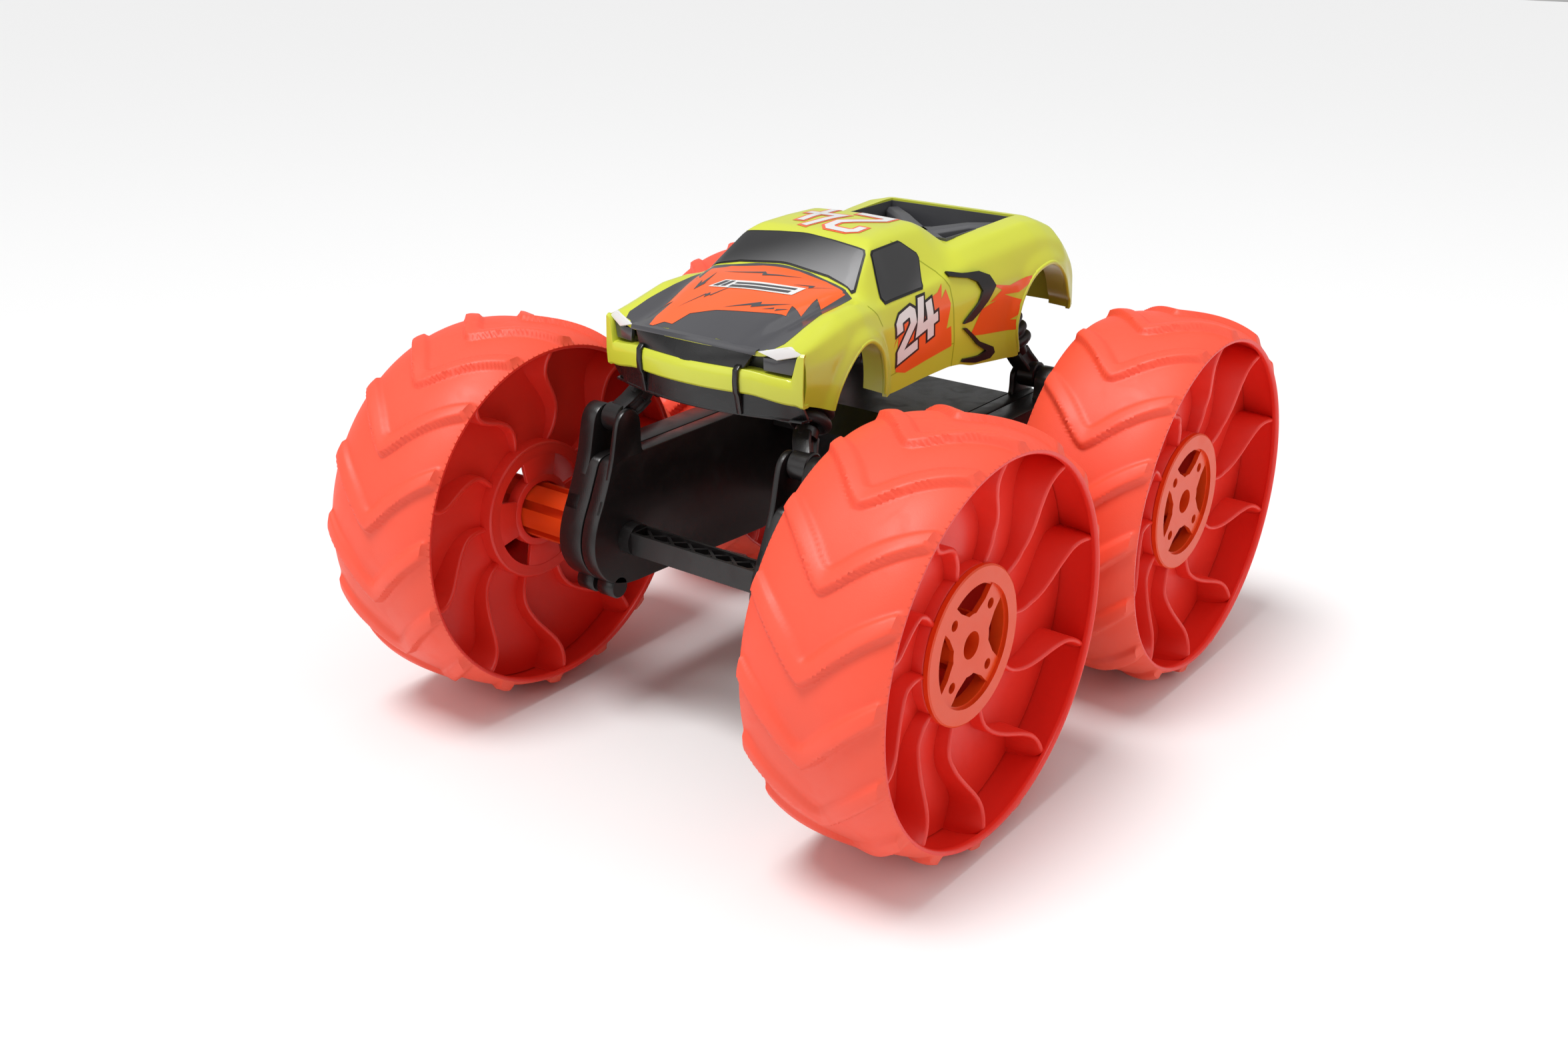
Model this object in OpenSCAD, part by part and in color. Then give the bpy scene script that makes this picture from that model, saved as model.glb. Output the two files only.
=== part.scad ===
// Radio-controlled stunt truck: pickup shell on four leaning shocks, twin
// gear-case rails with a tub between them, and four drum wheels.
// Frame: +X forward, +Y to the vehicle's left, +Z up; the origin is on the
// floor under the middle of the vehicle.

/* [Layout] */
// Distance between the front and rear axles
wheelbase = 162; // [160:1:162]
// Distance from the middle plane to the middle of each wheel
half_track = 97.4; // [97:0.2:100]
// Radius over the tread lugs
lug_r = 74; // [74:0.5:75]

/* [Wheels] */
// Width of a wheel drum
wheel_w = 53.8; // [50:0.2:54]
// Radius of the drum at the middle of its crown
crown_r = 72.3; // [71.5:0.1:72.5]
// Inner radius of the open lips
lip_r = 65; // [64:0.5:65]
// Number of V-shaped tread lugs
lug_count = 16; // [12:1:16]
// Angle of the first lug tip above the forward direction
lug_phase = 6.2; // [0:0.1:11]
// Number of paddle blades on each side of the web
blade_count = 10; // [8:1:12]
// Thickness of a paddle blade
blade_t = 1.8; // [1.4:0.1:2.2]
// Twist of a blade from the rim to the hub
blade_sweep = 16; // [0:1:20]

/* [Chassis] */
// Inner face of a rail, from the middle plane
rail_in = 35.8; // [35:0.1:36]
// Parting plane of the two rail halves
rail_seam = 43; // [42:0.1:44]
// Outer face of a rail
rail_out = 54.2; // [54:0.1:54.4]
// Wall thickness of the rail halves
rail_wall = 1.6; // [1.2:0.1:2]
// Radius of a rail pod round its axle
pod_r = 18.5; // [18:0.1:19]
// Height of the rail's top above the axles
rail_top = 32; // [31:0.5:33]

/* [Body shell] */
// Half width over the wheel arches
body_half_w = 44; // [43:0.5:44]
// Wall thickness of the shell
shell_t = 1.6; // [1.6:0.1:2]
// Travel of the body on its shocks
body_travel = 3; // [2:0.5:3]

/* [Drive] */
// Teeth of every gear in a rail's train
train_teeth = 27; // [27]
// Teeth of the motor pinion
pinion_teeth = 10; // [10]

/* [Hidden] */
$fn = 64;

FRONT = 1;
REAR = -1;
LEFT = 1;
RIGHT = -1;

lime = "#cfdc2e";
coral = "#f4512f";
orange = "#f4641c";
black = "#1c1a1b";
dark_grey = "#4b4b4e";

axle_x = wheelbase / 2;
axle_z = lug_r * cos(lug_phase);

// Gear train: seven equal gears fill the wheelbase
gear_module = wheelbase / 6 / train_teeth;
gear_face = 6;
gear_y = 44.5;
backlash = 0.14;
train_r = gear_module * train_teeth / 2;
pinion_r = gear_module * pinion_teeth / 2;
pinion_gear = 5;
pinion_at_x = axle_x - pinion_gear * 2 * train_r;
pinion_z = train_r + pinion_r;
pin_r = 1.5;
journal_r = 6;
run_gap = 0.05;

// Shocks: lower eye and direction up towards the body, left side
eye_y = 40.2;
front_eye = [-3.6, eye_y, 44.8];
rear_eye = [3, eye_y, 40.4];
front_lean = [11.5, -42.3];
rear_lean = [16, 18.8];
eye_r = 5.2;
eye_pin_r = 2;
eye_w = 8;

// Distances from the eye along the shock, [front, rear]
boot_start = [14, 13];
boot_ribs = [7, 5];
rib_pitch = 4.6;
rod_len = [40, 32];
bar_w = 8;
bar_d = 7;
boot_bore = 5;
boot_r = 7.6;

// Turn of the motor pinion that puts it in mesh at rest
pinion_phase = mesh_phase(90, train_teeth, train_phase(pinion_gear), pinion_teeth);

// Wheels and their axles
half_w = wheel_w / 2;
hub_face = 16.9;
hub_r = 27.5;
lug_rise = lug_r - crown_r;
lug_arm = 25;
lug_tip_w = 11.5;
lug_end_w = 8.5;
flute_r = 10.7;
axle_shoulder = 55;

// Rails: tops of the shock lugs above the axles, and screw feet
front_lug_top = 49.5;
rear_lug_top = 44.5;
foot_r = 4.4;
foot_pos = [6, -18.6];

// Tub, battery pack and cross tubes
tub_x0 = -73;
tub_x1 = -20;
tub_y = rail_in - 0.1;
tub_bottom = -20;
tub_wall = 1.8;
deck_t = 1.8;
pack_x = [-66, -30];
pack_y = 26;
tube_w = 9;
tube_h = 8.6;

// Bed, lower lip of the shell and inner frame, measured from the front axle
bed_x = [-162, -108];
bed_half = 30;
bed_floor = 92;
lip_z = 61.2;
frame_x = [-42, -138];

// ---- helpers ----

// Draws its 2D child in the XZ plane, filled from y0 to y1
module along_y(y0, y1) {
    translate([0, y1, 0])
        rotate([90, 0, 0])
            linear_extrude(y1 - y0)
                children();
}

// Draws its 2D child in the YZ plane, filled from x0 to x1
module along_x(x0, x1) {
    translate([x0, 0, 0])
        rotate([90, 0, 90])
            linear_extrude(x1 - x0)
                children();
}

// A solid of revolution about the Y axis; the child's y runs along +Y
module spin_y() {
    rotate([-90, 0, 0])
        rotate_extrude()
            children();
}

module rod_y(r, y0, y1) {
    translate([0, y0, 0])
        rotate([-90, 0, 0])
            cylinder(r = r, h = y1 - y0);
}

// Draws its child on the left, or mirrored on the right
module on_side(side) {
    if (side == LEFT)
        children();
    else
        mirror([0, 1, 0])
            children();
}

// Moves its child to the axle at one end, on the middle plane
module at_axle(end) {
    translate([end * axle_x, 0, axle_z])
        children();
}

// A box given by its low and high corners
module span(low, high) {
    translate(low)
        cube(high - low);
}

function rotated(p, a) = [p.x * cos(a) - p.y * sin(a), p.x * sin(a) + p.y * cos(a)];

// ---- gears ----

function inv_r(base, t) = base * sqrt(1 + t * t);
function inv_a(t) = t * 180 / PI - atan(t);

// Half of a tooth as [radius, angle from the tooth's middle], root to tip
function half_tooth(teeth) =
    let (r = gear_module * teeth / 2)
    let (base = r * cos(20))
    let (tip = r + 0.9 * gear_module)
    let (t_pitch = tan(20))
    let (t_tip = sqrt(pow(tip / base, 2) - 1))
    let (half = 90 / teeth - backlash / r * 90 / PI + inv_a(t_pitch))
    let (root = r - 1.2 * gear_module)
    concat(
        [[root, half + 0.5]],
        [for (i = [0:3]) let (t = t_tip * i / 3) [max(root, inv_r(base, t)), half - inv_a(t)]]
    );

module gear_2d(teeth, phase) {
    side = half_tooth(teeth);
    n = len(side);
    polygon([
        for (k = [0:teeth - 1])
            for (j = [0:2 * n - 1])
                let (p = j < n ? side[j] : side[2 * n - 1 - j])
                let (a = phase + k * 360 / teeth + (j < n ? -p[1] : p[1]))
                p[0] * [cos(a), sin(a)]
    ]);
}

// Phase that meshes gear B with gear A, seen from A at the given direction
function mesh_phase(dir, teeth_a, phase_a, teeth_b) =
    let (pitch_a = 360 / teeth_a)
    let (pitch_b = 360 / teeth_b)
    dir + 180 - pitch_b * (0.5 - (dir - phase_a) / pitch_a);

// Phase of gear i in the train; gear 0 is on the front axle
function train_phase(i) =
    i == 0 ? 0 : mesh_phase(180, train_teeth, train_phase(i - 1), train_teeth);

module train_gear(i, bore, hub_r) {
    translate([axle_x - i * 2 * train_r, 0, axle_z])
        difference() {
            union() {
                along_y(gear_y, gear_y + gear_face)
                    gear_2d(train_teeth, train_phase(i));
                rod_y(hub_r, gear_y - 3, gear_y + gear_face + 1);
            }
            rod_y(bore, gear_y - 4, gear_y + gear_face + 2);
        }
}

module idler_gear(side, i) {
    color("ivory")
        on_side(side)
            train_gear(i, pin_r + run_gap, 4);
}

module output_gear(end, side) {
    color("ivory")
        on_side(side)
            train_gear(end == FRONT ? 0 : 6, journal_r + 0.02, 8.5);
}

module pinion(side) {
    color("gold")
        on_side(side)
            translate([pinion_at_x, 0, axle_z + pinion_z]) {
                along_y(gear_y, gear_y + gear_face)
                    gear_2d(pinion_teeth, pinion_phase);
                rod_y(1, 26, gear_y + 0.5);
            }
}

// ---- wheels ----

function drum_outer() = [
    [lip_r + 2.2, -half_w], [lip_r + 4.6, -half_w + 3], [crown_r - 0.9, -half_w + 11],
    [crown_r, -4], [crown_r, 4],
    [crown_r - 0.9, half_w - 11], [lip_r + 4.6, half_w - 3], [lip_r + 2.2, half_w]
];

function drum_inner() = [
    [lip_r, half_w], [lip_r + 2.4, half_w - 3], [crown_r - 3.1, half_w - 11],
    [crown_r - 2.3, 4], [crown_r - 2.3, -4],
    [crown_r - 3.1, -half_w + 11], [lip_r + 2.4, -half_w + 3], [lip_r, -half_w]
];

// Centre line of a blade as a fraction from the hub (0) to the rim (1)
function blade_point(f) =
    let (r = hub_r - 1.5 + f * (crown_r - 1.5 - hub_r))
    let (a = blade_sweep * (1 - f) + 5 * sin(360 * f * 1.1))
    r * [cos(a), sin(a)];

module blade_2d() {
    steps = 10;
    mid = [for (i = [0:steps]) blade_point(i / steps)];
    side = [for (i = [0:steps])
        let (d = mid[min(i + 1, steps)] - mid[max(i - 1, 0)])
        blade_t / 2 * [-d.y, d.x] / norm(d)];
    polygon(concat(
        [for (i = [0:steps]) mid[i] + side[i]],
        [for (i = [steps:-1:0]) mid[i] - side[i]]
    ));
}

// Space that the blades may fill: from the hub's face out to the lips
module blade_envelope() {
    spin_y()
        polygon([
            [hub_r - 2, -hub_face + 4], [38, -hub_face + 1], [54, -half_w + 5],
            [lip_r + 0.5, -half_w + 1.5], [lip_r + 3, -half_w + 3.6], [crown_r - 2.2, -10],
            [crown_r - 2, 10], [lip_r + 3, half_w - 3.6], [lip_r + 0.5, half_w - 1.5],
            [54, half_w - 5], [38, hub_face - 1], [hub_r - 2, hub_face - 2]
        ]);
}

// V-shaped lugs: prisms that stand out of the crown; each tip points down at
// the front, and its arms trail up towards both lips

module lug_2d() {
    reach = half_w - 2.4;
    polygon([
        [0, -lug_arm / 2], [reach, lug_arm / 2 - 2], [reach - 1, lug_arm / 2 - 2 + lug_end_w],
        [0, -lug_arm / 2 + lug_tip_w],
        [-reach + 1, lug_arm / 2 - 2 + lug_end_w], [-reach, lug_arm / 2 - 2]
    ]);
}

// Band that the lugs fill, from inside the drum's wall to their tops
module lug_band() {
    spin_y()
        polygon([
            [lip_r + 2.6, -half_w + 2], [lip_r + 4.6, -half_w + 2], [crown_r - 0.2, -half_w + 10],
            [crown_r + lug_rise, -7], [crown_r + lug_rise, 7],
            [crown_r - 0.2, half_w - 10], [lip_r + 4.6, half_w - 2], [lip_r + 2.6, half_w - 2],
            [crown_r - 2.1, half_w - 11], [crown_r - 1.5, 4], [crown_r - 1.5, -4],
            [crown_r - 2.1, -half_w + 11]
        ]);
}

module tread_lugs() {
    tip_turn = asin((lug_arm / 2) / lug_r);
    intersection() {
        lug_band();
        for (k = [0:lug_count - 1])
            rotate([0, -(lug_phase + tip_turn + 360 / lug_count * k), 0])
                translate([lip_r - 2, 0, 0])
                    rotate([90, 0, 90])
                        linear_extrude(14)
                            lug_2d();
    }
}

module wheel_local() {
    // drum with its crowned outside
    spin_y()
        polygon(concat(drum_outer(), drum_inner()));
    // web at the middle of the width
    spin_y()
        polygon([[hub_r - 1, -1], [crown_r - 1.5, -1], [crown_r - 1.5, 1], [hub_r - 1, 1]]);
    // hub barrel, open inside
    spin_y()
        polygon([
            [hub_r - 2, -14], [hub_r, -14], [hub_r, hub_face - 2.2], [hub_r - 2, hub_face - 2.2]
        ]);
    // inner hub face with its windows
    difference() {
        rod_y(hub_r, -16, -14);
        rod_y(11.4, -17, -13);
        for (k = [0:3])
            rotate([0, 45 + 90 * k, 0])
                span([14, -17, -5], [23, -13, 5]);
    }
    // paddle blades
    intersection() {
        blade_envelope();
        for (k = [0:blade_count - 1])
            rotate([0, -(18 + 360 / blade_count * k), 0])
                along_y(-half_w, half_w)
                    blade_2d();
    }
    tread_lugs();
}

module wheel(end, side) {
    color(coral)
        on_side(side)
            at_axle(end)
                translate([0, half_track, 0])
                    wheel_local();
}

// Star plate, ring and fluted axle, one orange moulding

module star_2d() {
    difference() {
        union() {
            circle(r = 11);
            for (k = [0:3])
                rotate(45 + 90 * k)
                    polygon([[0, -8.5], [15, -4.6], [22, -4.6], [22, 4.6], [15, 4.6], [0, 8.5]]);
        }
        circle(r = 4.8);
        for (k = [0:3])
            rotate(45 + 90 * k)
                translate([15.6, 0])
                    circle(r = 1.9);
    }
}

module hub_axle(end, side) {
    hub_y = half_track + hub_face;
    color(orange)
        on_side(side)
            at_axle(end) {
                // ring that clamps the drum
                spin_y()
                    polygon([
                        [21.5, hub_y - 2], [hub_r, hub_y - 2], [hub_r, hub_y - 0.4],
                        [hub_r - 0.6, hub_y], [21.5, hub_y]
                    ]);
                along_y(hub_y - 3, hub_y - 1.2)
                    star_2d();
                spin_y()
                    polygon([
                        [20.8, hub_y - 6], [22.4, hub_y - 6], [22.4, hub_y - 1.5], [20.8, hub_y - 1.5]
                    ]);
                // fluted shaft between the pod and the star plate
                difference() {
                    along_y(axle_shoulder, hub_y - 2.5)
                        difference() {
                            circle(r = flute_r);
                            for (k = [0:5])
                                rotate(30 + 60 * k)
                                    translate([flute_r, 0])
                                        square([5.6, 3.4], center = true);
                        }
                    rod_y(4.8, half_track, hub_y + 1);
                }
                // journal that turns in the pod
                rod_y(journal_r, rail_in + 2.4, axle_shoulder + 1);
            }
}

// ---- rails ----

// Outline of the half of a rail next to one axle, shrunk by g on every side
module pod_2d(g, lug_top) {
    circle(r = pod_r - g);
    // lug that holds the shock's eye
    polygon([
        [pod_r - 1.6 - g, 7.5], [13.5 - g, 15.5], [9.5 - g, 26.9], [6 - g, lug_top - 3.5],
        [2.6 - g, lug_top - g], [-4.6 + g, lug_top - g], [-8 + g, lug_top - 4],
        [-10 + g, rail_top], [-14, rail_top - g], [-14, 0]
    ]);
    // tapering beam towards the middle
    polygon([
        [0, -pod_r + 1.2 + g], [-axle_x - 0.01, -22.8 + g],
        [-axle_x - 0.01, rail_top - g], [-8.7, rail_top - g]
    ]);
}

module rail_2d(g, lugs) {
    translate([axle_x, 0])
        pod_2d(g, lugs ? front_lug_top : rail_top);
    translate([-axle_x, 0])
        mirror([1, 0])
            pod_2d(g, lugs ? rear_lug_top : rail_top);
}

module rail_feet(y0, y1) {
    for (end = [FRONT, REAR])
        translate([end * (axle_x + foot_pos.x), 0, foot_pos.y])
            rod_y(foot_r, y0, y1);
}

// The eyes sit in steps on the inner side of the lugs
module shock_slots() {
    translate([axle_x, 0, 0])
        span([-20, rail_in - 1, front_eye.z - 6.6], [20, eye_y + eye_w / 2 + 0.4, 60]);
    translate([-axle_x, 0, 0])
        span([-20, rail_in - 1, rear_eye.z - 6.6], [20, eye_y + eye_w / 2 + 0.4, 60]);
}

module eye_pins(r, y0, y1) {
    translate([axle_x + front_eye.x, 0, front_eye.z])
        rod_y(r, y0, y1);
    translate([-axle_x + rear_eye.x, 0, rear_eye.z])
        rod_y(r, y0, y1);
}

module rail_outer(side) {
    color(black)
        on_side(side)
            translate([0, 0, axle_z])
                difference() {
                    union() {
                        along_y(rail_seam + 0.05, rail_out)
                            rail_2d(0, true);
                        rail_feet(rail_seam + 3, rail_out);
                    }
                    // gear space
                    along_y(rail_seam - 1, rail_out - rail_wall)
                        rail_2d(rail_wall, false);
                    shock_slots();
                    for (end = [FRONT, REAR])
                        translate([end * axle_x, 0, 0])
                            rod_y(journal_r + run_gap, rail_out - 3, rail_out + 1);
                    eye_pins(eye_pin_r + 0.02, rail_seam - 1, rail_out - 1.5);
                }
}

module rail_inner(side) {
    color(black)
        on_side(side)
            translate([0, 0, axle_z])
                difference() {
                    union() {
                        difference() {
                            union() {
                                along_y(rail_in, rail_seam - 0.05)
                                    rail_2d(0, true);
                                rail_feet(rail_in, rail_seam - 0.05);
                            }
                            along_y(rail_in + rail_wall, rail_seam + 1)
                                rail_2d(rail_wall, false);
                        }
                        // bearing rings for the journals
                        for (end = [FRONT, REAR])
                            translate([end * axle_x, 0, 0])
                                rod_y(journal_r + 2, rail_in + 0.5, rail_in + 4.4);
                    }
                    shock_slots();
                    for (end = [FRONT, REAR])
                        translate([end * axle_x, 0, 0])
                            rod_y(journal_r + run_gap, rail_in + 1.9, rail_in + 6);
                    // hole for the motor shaft
                    translate([pinion_at_x, 0, pinion_z])
                        rod_y(3, rail_in - 1, rail_in + 3);
                }
}

module shock_pins() {
    color("silver")
        for (side = [LEFT, RIGHT])
            on_side(side)
                translate([0, 0, axle_z])
                    eye_pins(eye_pin_r, eye_y - eye_w / 2, rail_out - 1.6);
}

module gear_pins() {
    color("silver")
        for (side = [LEFT, RIGHT])
            on_side(side)
                for (i = [1:5])
                    translate([axle_x - i * 2 * train_r, 0, axle_z])
                        rod_y(pin_r, rail_in + rail_wall + 0.05, rail_out - rail_wall - 0.05);
}

// ---- central tub ----

module tub_base() {
    color(black)
        translate([0, 0, axle_z])
            difference() {
                along_y(-tub_y, tub_y)
                    polygon([
                        [tub_x0, tub_bottom + 3], [tub_x0 + 3, tub_bottom], [tub_x1 - 6, tub_bottom],
                        [tub_x1, tub_bottom + 6], [tub_x1, rail_top - deck_t - 0.05],
                        [tub_x0, rail_top - deck_t - 0.05]
                    ]);
                span(
                    [tub_x0 + tub_wall, -tub_y + tub_wall, tub_bottom + tub_wall + 3],
                    [tub_x1 - tub_wall, tub_y - tub_wall, rail_top]
                );
                // battery opening in the floor
                span([pack_x[0], -pack_y, tub_bottom - 1], [pack_x[1], pack_y, tub_bottom + 8]);
                // slot for the power switch
                span([-28.6, -6, tub_bottom - 1], [-25.4, 6, tub_bottom + 8]);
                for (side = [LEFT, RIGHT])
                    on_side(side)
                        translate([pinion_at_x, 0, pinion_z])
                            rod_y(3.4, tub_y - 3, tub_y + 1);
            }
}

module deck_cover() {
    color(black)
        translate([0, 0, axle_z]) {
            span([tub_x0, -tub_y, rail_top - deck_t], [tub_x1, tub_y, rail_top]);
            // sloping front apron and its lip
            along_y(-tub_y, tub_y)
                polygon([
                    [tub_x1, rail_top - deck_t], [tub_x1, rail_top], [tub_x1 + 2, rail_top],
                    [tub_x1 + 13, rail_top - 9], [tub_x1 + 13, rail_top - 11], [tub_x1 + 11, rail_top - 11]
                ]);
        }
}

module battery_door() {
    color(black)
        translate([0, 0, axle_z])
            difference() {
                span(
                    [pack_x[0] + 0.2, -pack_y + 0.2, tub_bottom],
                    [pack_x[1] - 0.2, pack_y - 0.2, tub_bottom + 1.8]
                );
                translate([pack_x[1] - 4, 0, tub_bottom - 1])
                    cylinder(r = 1.3, h = 4);
            }
}

module battery_pack() {
    cell_r = 7;
    color("steelblue")
        translate([0, 0, axle_z + tub_bottom + 2.2 + cell_r])
            for (k = [0:1])
                translate([pack_x[0] + 9 + 16 * k, 0, 0])
                    rod_y(cell_r, -25, 25);
}

module circuit_board() {
    color("darkgreen")
        translate([0, 0, axle_z]) {
            span([-40, -18, rail_top - 6], [-24, 18, rail_top - 4.4]);
            span([-36, -8, rail_top - 7.6], [-28, 4, rail_top - 6]);
        }
}

module power_switch() {
    color("dimgray")
        translate([0, 0, axle_z]) {
            span([-28.2, -4.6, tub_bottom - 0.8], [-25.8, -0.6, tub_bottom + 6]);
            span([-29.6, -5.4, tub_bottom + 6], [-24.4, 0.2, tub_bottom + 7.6]);
        }
}

module drive_motors() {
    can_r = 10;
    color("silver")
        for (side = [LEFT, RIGHT])
            on_side(side)
                translate([pinion_at_x, 0, axle_z + pinion_z])
                    difference() {
                        union() {
                            along_y(8, tub_y - tub_wall - 0.1)
                                intersection() {
                                    circle(r = can_r);
                                    square([2 * can_r, 15], center = true);
                                }
                            rod_y(3, 12, tub_y - 0.2);
                        }
                        rod_y(1 + run_gap, 20, tub_y + 1);
                    }
}

// Cross tube between the rails, on the axle line: a channel with X ribs

module cross_tube(end) {
    inner = rail_in - 0.05;
    color(black)
        at_axle(end) {
            for (side = [LEFT, RIGHT])
                on_side(side)
                    rod_y(6.2, inner - 5, inner);
            difference() {
                span([-tube_w / 2, -inner + 4, -tube_h / 2], [tube_w / 2, inner - 4, tube_h / 2]);
                span([-tube_w / 2 + 1.2, -inner + 6, -tube_h / 2 + 2.4], [tube_w / 2 - 1.2, inner - 6, tube_h]);
            }
            for (k = [-3:2])
                for (turn = [-1, 1])
                    translate([0, k * 9.8 + 4.9, tube_h / 2 - 2.6])
                        rotate(turn * 37)
                            cube([1.1, 11.4, 3], center = true);
        }
}

module chassis_screws() {
    color("gray")
        for (side = [LEFT, RIGHT])
            on_side(side)
                for (end = [FRONT, REAR])
                    translate([end * (axle_x + foot_pos.x), 0, axle_z + foot_pos.y])
                        rod_y(1.2, rail_out + 0.02, rail_out + 1.1);
}

// ---- shocks ----

module in_shock(end, side) {
    eye = end == FRONT ? front_eye : rear_eye;
    on_side(side)
        at_axle(end)
            translate(eye)
                children();
}

function at_end(pair, end) = pair[end == FRONT ? 0 : 1];

// Turns its child from straight up to the shock's lean
module leaning(end) {
    lean = end == FRONT ? front_lean : rear_lean;
    rotate([lean[0], lean[1], 0])
        children();
}

module shock_rod(end, side) {
    start = at_end(boot_start, end);
    color(black)
        in_shock(end, side)
            difference() {
                union() {
                    rod_y(eye_r, -eye_w / 2, eye_w / 2);
                    leaning(end) {
                        span([-bar_w / 2, -bar_d / 2, 0], [bar_w / 2, bar_d / 2, start - body_travel - 0.6]);
                        cylinder(r = 4.2, h = start - 0.2);
                        cylinder(r = 3, h = at_end(rod_len, end));
                    }
                }
                rod_y(eye_pin_r + run_gap, -eye_w, eye_w);
            }
}

module shock_boot(end, side) {
    start = at_end(boot_start, end);
    ribs = at_end(boot_ribs, end);
    color(black)
        in_shock(end, side)
            leaning(end)
                difference() {
                    union() {
                        translate([0, 0, start])
                            cylinder(r = boot_r - 1.4, h = ribs * rib_pitch + 3);
                        for (k = [0:ribs - 1])
                            let (r = boot_r - 0.12 * k)
                            translate([0, 0, start + k * rib_pitch])
                                rotate_extrude()
                                    polygon([
                                        [boot_bore + 0.6, 0], [r - 1.2, 0], [r, 1.2],
                                        [r, 2.6], [r - 1.2, 3.8], [boot_bore + 0.6, 3.8]
                                    ]);
                    }
                    // bore, wider at the mouth where the bar swings in
                    translate([0, 0, start - 1])
                        cylinder(r = boot_bore, h = ribs * rib_pitch + 2);
                    translate([0, 0, start - 1])
                        cylinder(r1 = 6.2, r2 = boot_bore, h = 8);
                }
}

// Room for the boots inside the shell and its frame
module boot_room() {
    for (end = [FRONT, REAR])
        for (side = [LEFT, RIGHT])
            in_shock(end, side)
                leaning(end)
                    translate([0, 0, at_end(boot_start, end) - 1])
                        cylinder(r = boot_r + 0.3, h = at_end(boot_ribs, end) * rib_pitch + 5);
}

// ---- body shell ----

// Side profile, measured from the front axle
function shell_side() = [
    [4, 64], [6.5, 67], [5, 77], [3.5, 83], [-10, 89], [-30, 94], [-46, 96.5],
    [-62, 108.5], [-72, 110.5], [-96, 110.8], [-102, 108.5], [-110, 102.5],
    [-165, 103], [-176, 99], [-184, 90], [-189, 74], [-186.5, 63], [-182.5, 62],
    [-182, 57], [-146, 52], [-123, 53], [-98, 57.5], [-58, 55], [-16, 60]
];

// Front profile, half width against height
function shell_front(w) = [
    [-w + 1, 50], [-w, 66], [-w, 84], [-w + 6.5, 98], [-w + 9.5, 103.5], [-w + 16, 111.5],
    [w - 16, 111.5], [w - 9.5, 103.5], [w - 6.5, 98], [w, 84], [w, 66], [w - 1, 50]
];

function nose_plan(w) = [
    [9, 0], [7.5, 20], [3, w - 3], [-3, w], [-70, w], [-120, w], [-180, w], [-190, w - 5]
];

module plan_2d(w) {
    half = nose_plan(w);
    polygon(concat(
        half, [for (i = [len(half) - 1:-1:0]) [half[i].x, -half[i].y]]
    ));
}

module shell_block(w, t) {
    centre = [-90, 84];
    k = (100 - t) / 100;
    intersection() {
        along_y(-w, w)
            polygon([for (p = shell_side()) centre + (p - centre) * k]);
        along_x(-200, 20)
            polygon([for (p = shell_front(w)) [p.x, p.y - t]]);
        translate([0, 0, 40])
            linear_extrude(80)
                plan_2d(w);
    }
}

module arch_cut(x, z, r) {
    along_y(-60, 60) {
        translate([x, z])
            circle(r = r);
        translate([x - r, z - 40])
            square([2 * r, 40]);
    }
}

module shell_moulding() {
    difference() {
        shell_block(body_half_w, 0);
        // hollow underside: nose, cabin and tail
        difference() {
            shell_block(body_half_w - shell_t, 2);
            span([bed_x[0] - 2, -50, bed_floor - 2], [bed_x[1] + 2, 50, 120]);
        }
        span([-180, -body_half_w + shell_t, 40], [1.6, body_half_w - shell_t, 64.6]);
        // cargo bed
        span([bed_x[0], -bed_half, bed_floor], [bed_x[1], bed_half, 120]);
        arch_cut(-33, 64, 17);
        arch_cut(-164, 66, 19);
        // openings for the windows, lamps and grille
        windshield_solid(0.15);
        side_window_solid(0.15);
        grille_solid(0.15);
        headlight_solids(0.15);
        vent_solids(0.15);
    }
}

module body_shell() {
    color(lime)
        difference() {
            at_axle(FRONT)
                shell_moulding();
            boot_room();
        }
}

module windshield_solid(g) {
    along_x(-62, -44)
        polygon([[-32 - g, 95.5 - g], [-27 - g, 107.5 + g], [27 + g, 107.5 + g], [32 + g, 95.5 - g]]);
}

module windshield_slab(g, depth) {
    intersection() {
        windshield_solid(g);
        along_y(-40, 40)
            polygon([
                [-45, 94], [-47, 97.25], [-61, 107.75], [-64, 109.2],
                [-64, 109.2 - depth], [-45, 94 - depth]
            ]);
    }
}

module windshield() {
    color("#2a2b2e")
        at_axle(FRONT)
            difference() {
                windshield_slab(0, 2);
                span([-70, -40, 60], [-40, 40, 90]);
            }
}

module side_window_2d(g) {
    polygon([
        [-57 + g, 89 - g], [-61.5 + g, 106 + g], [-80 - g, 107 + g], [-87.5 - g, 101],
        [-81.5 - g, 90.5 - g]
    ]);
}

module side_window_solid(g) {
    for (side = [LEFT, RIGHT])
        on_side(side)
            along_y(20, 50)
                side_window_2d(g);
}

module side_windows() {
    color("#2a2b2e")
        at_axle(FRONT)
            for (side = [LEFT, RIGHT])
                on_side(side)
                    intersection() {
                        along_y(20, 50)
                            side_window_2d(0);
                        along_x(-95, -50)
                            polygon([[43, 84], [36.3, 98], [33.3, 103.5], [26.8, 111.5],
                                     [25, 111.5], [31.5, 103.5], [34.5, 98], [40, 84]]);
                    }
}

module grille_solid(g) {
    along_x(-4 - g, 12)
        polygon([
            [-27 - g, 83.5 + g], [-20 - g, 72 - g], [20 + g, 72 - g], [27 + g, 83.5 + g]
        ]);
}

module grille_insert() {
    color(black)
        at_axle(FRONT)
            intersection() {
                grille_solid(0);
                translate([-3, 0, 0])
                    along_y(-40, 40)
                        polygon([[6.6, 70], [5, 77], [3.2, 84], [0, 84], [1, 70]]);
            }
}

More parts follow.
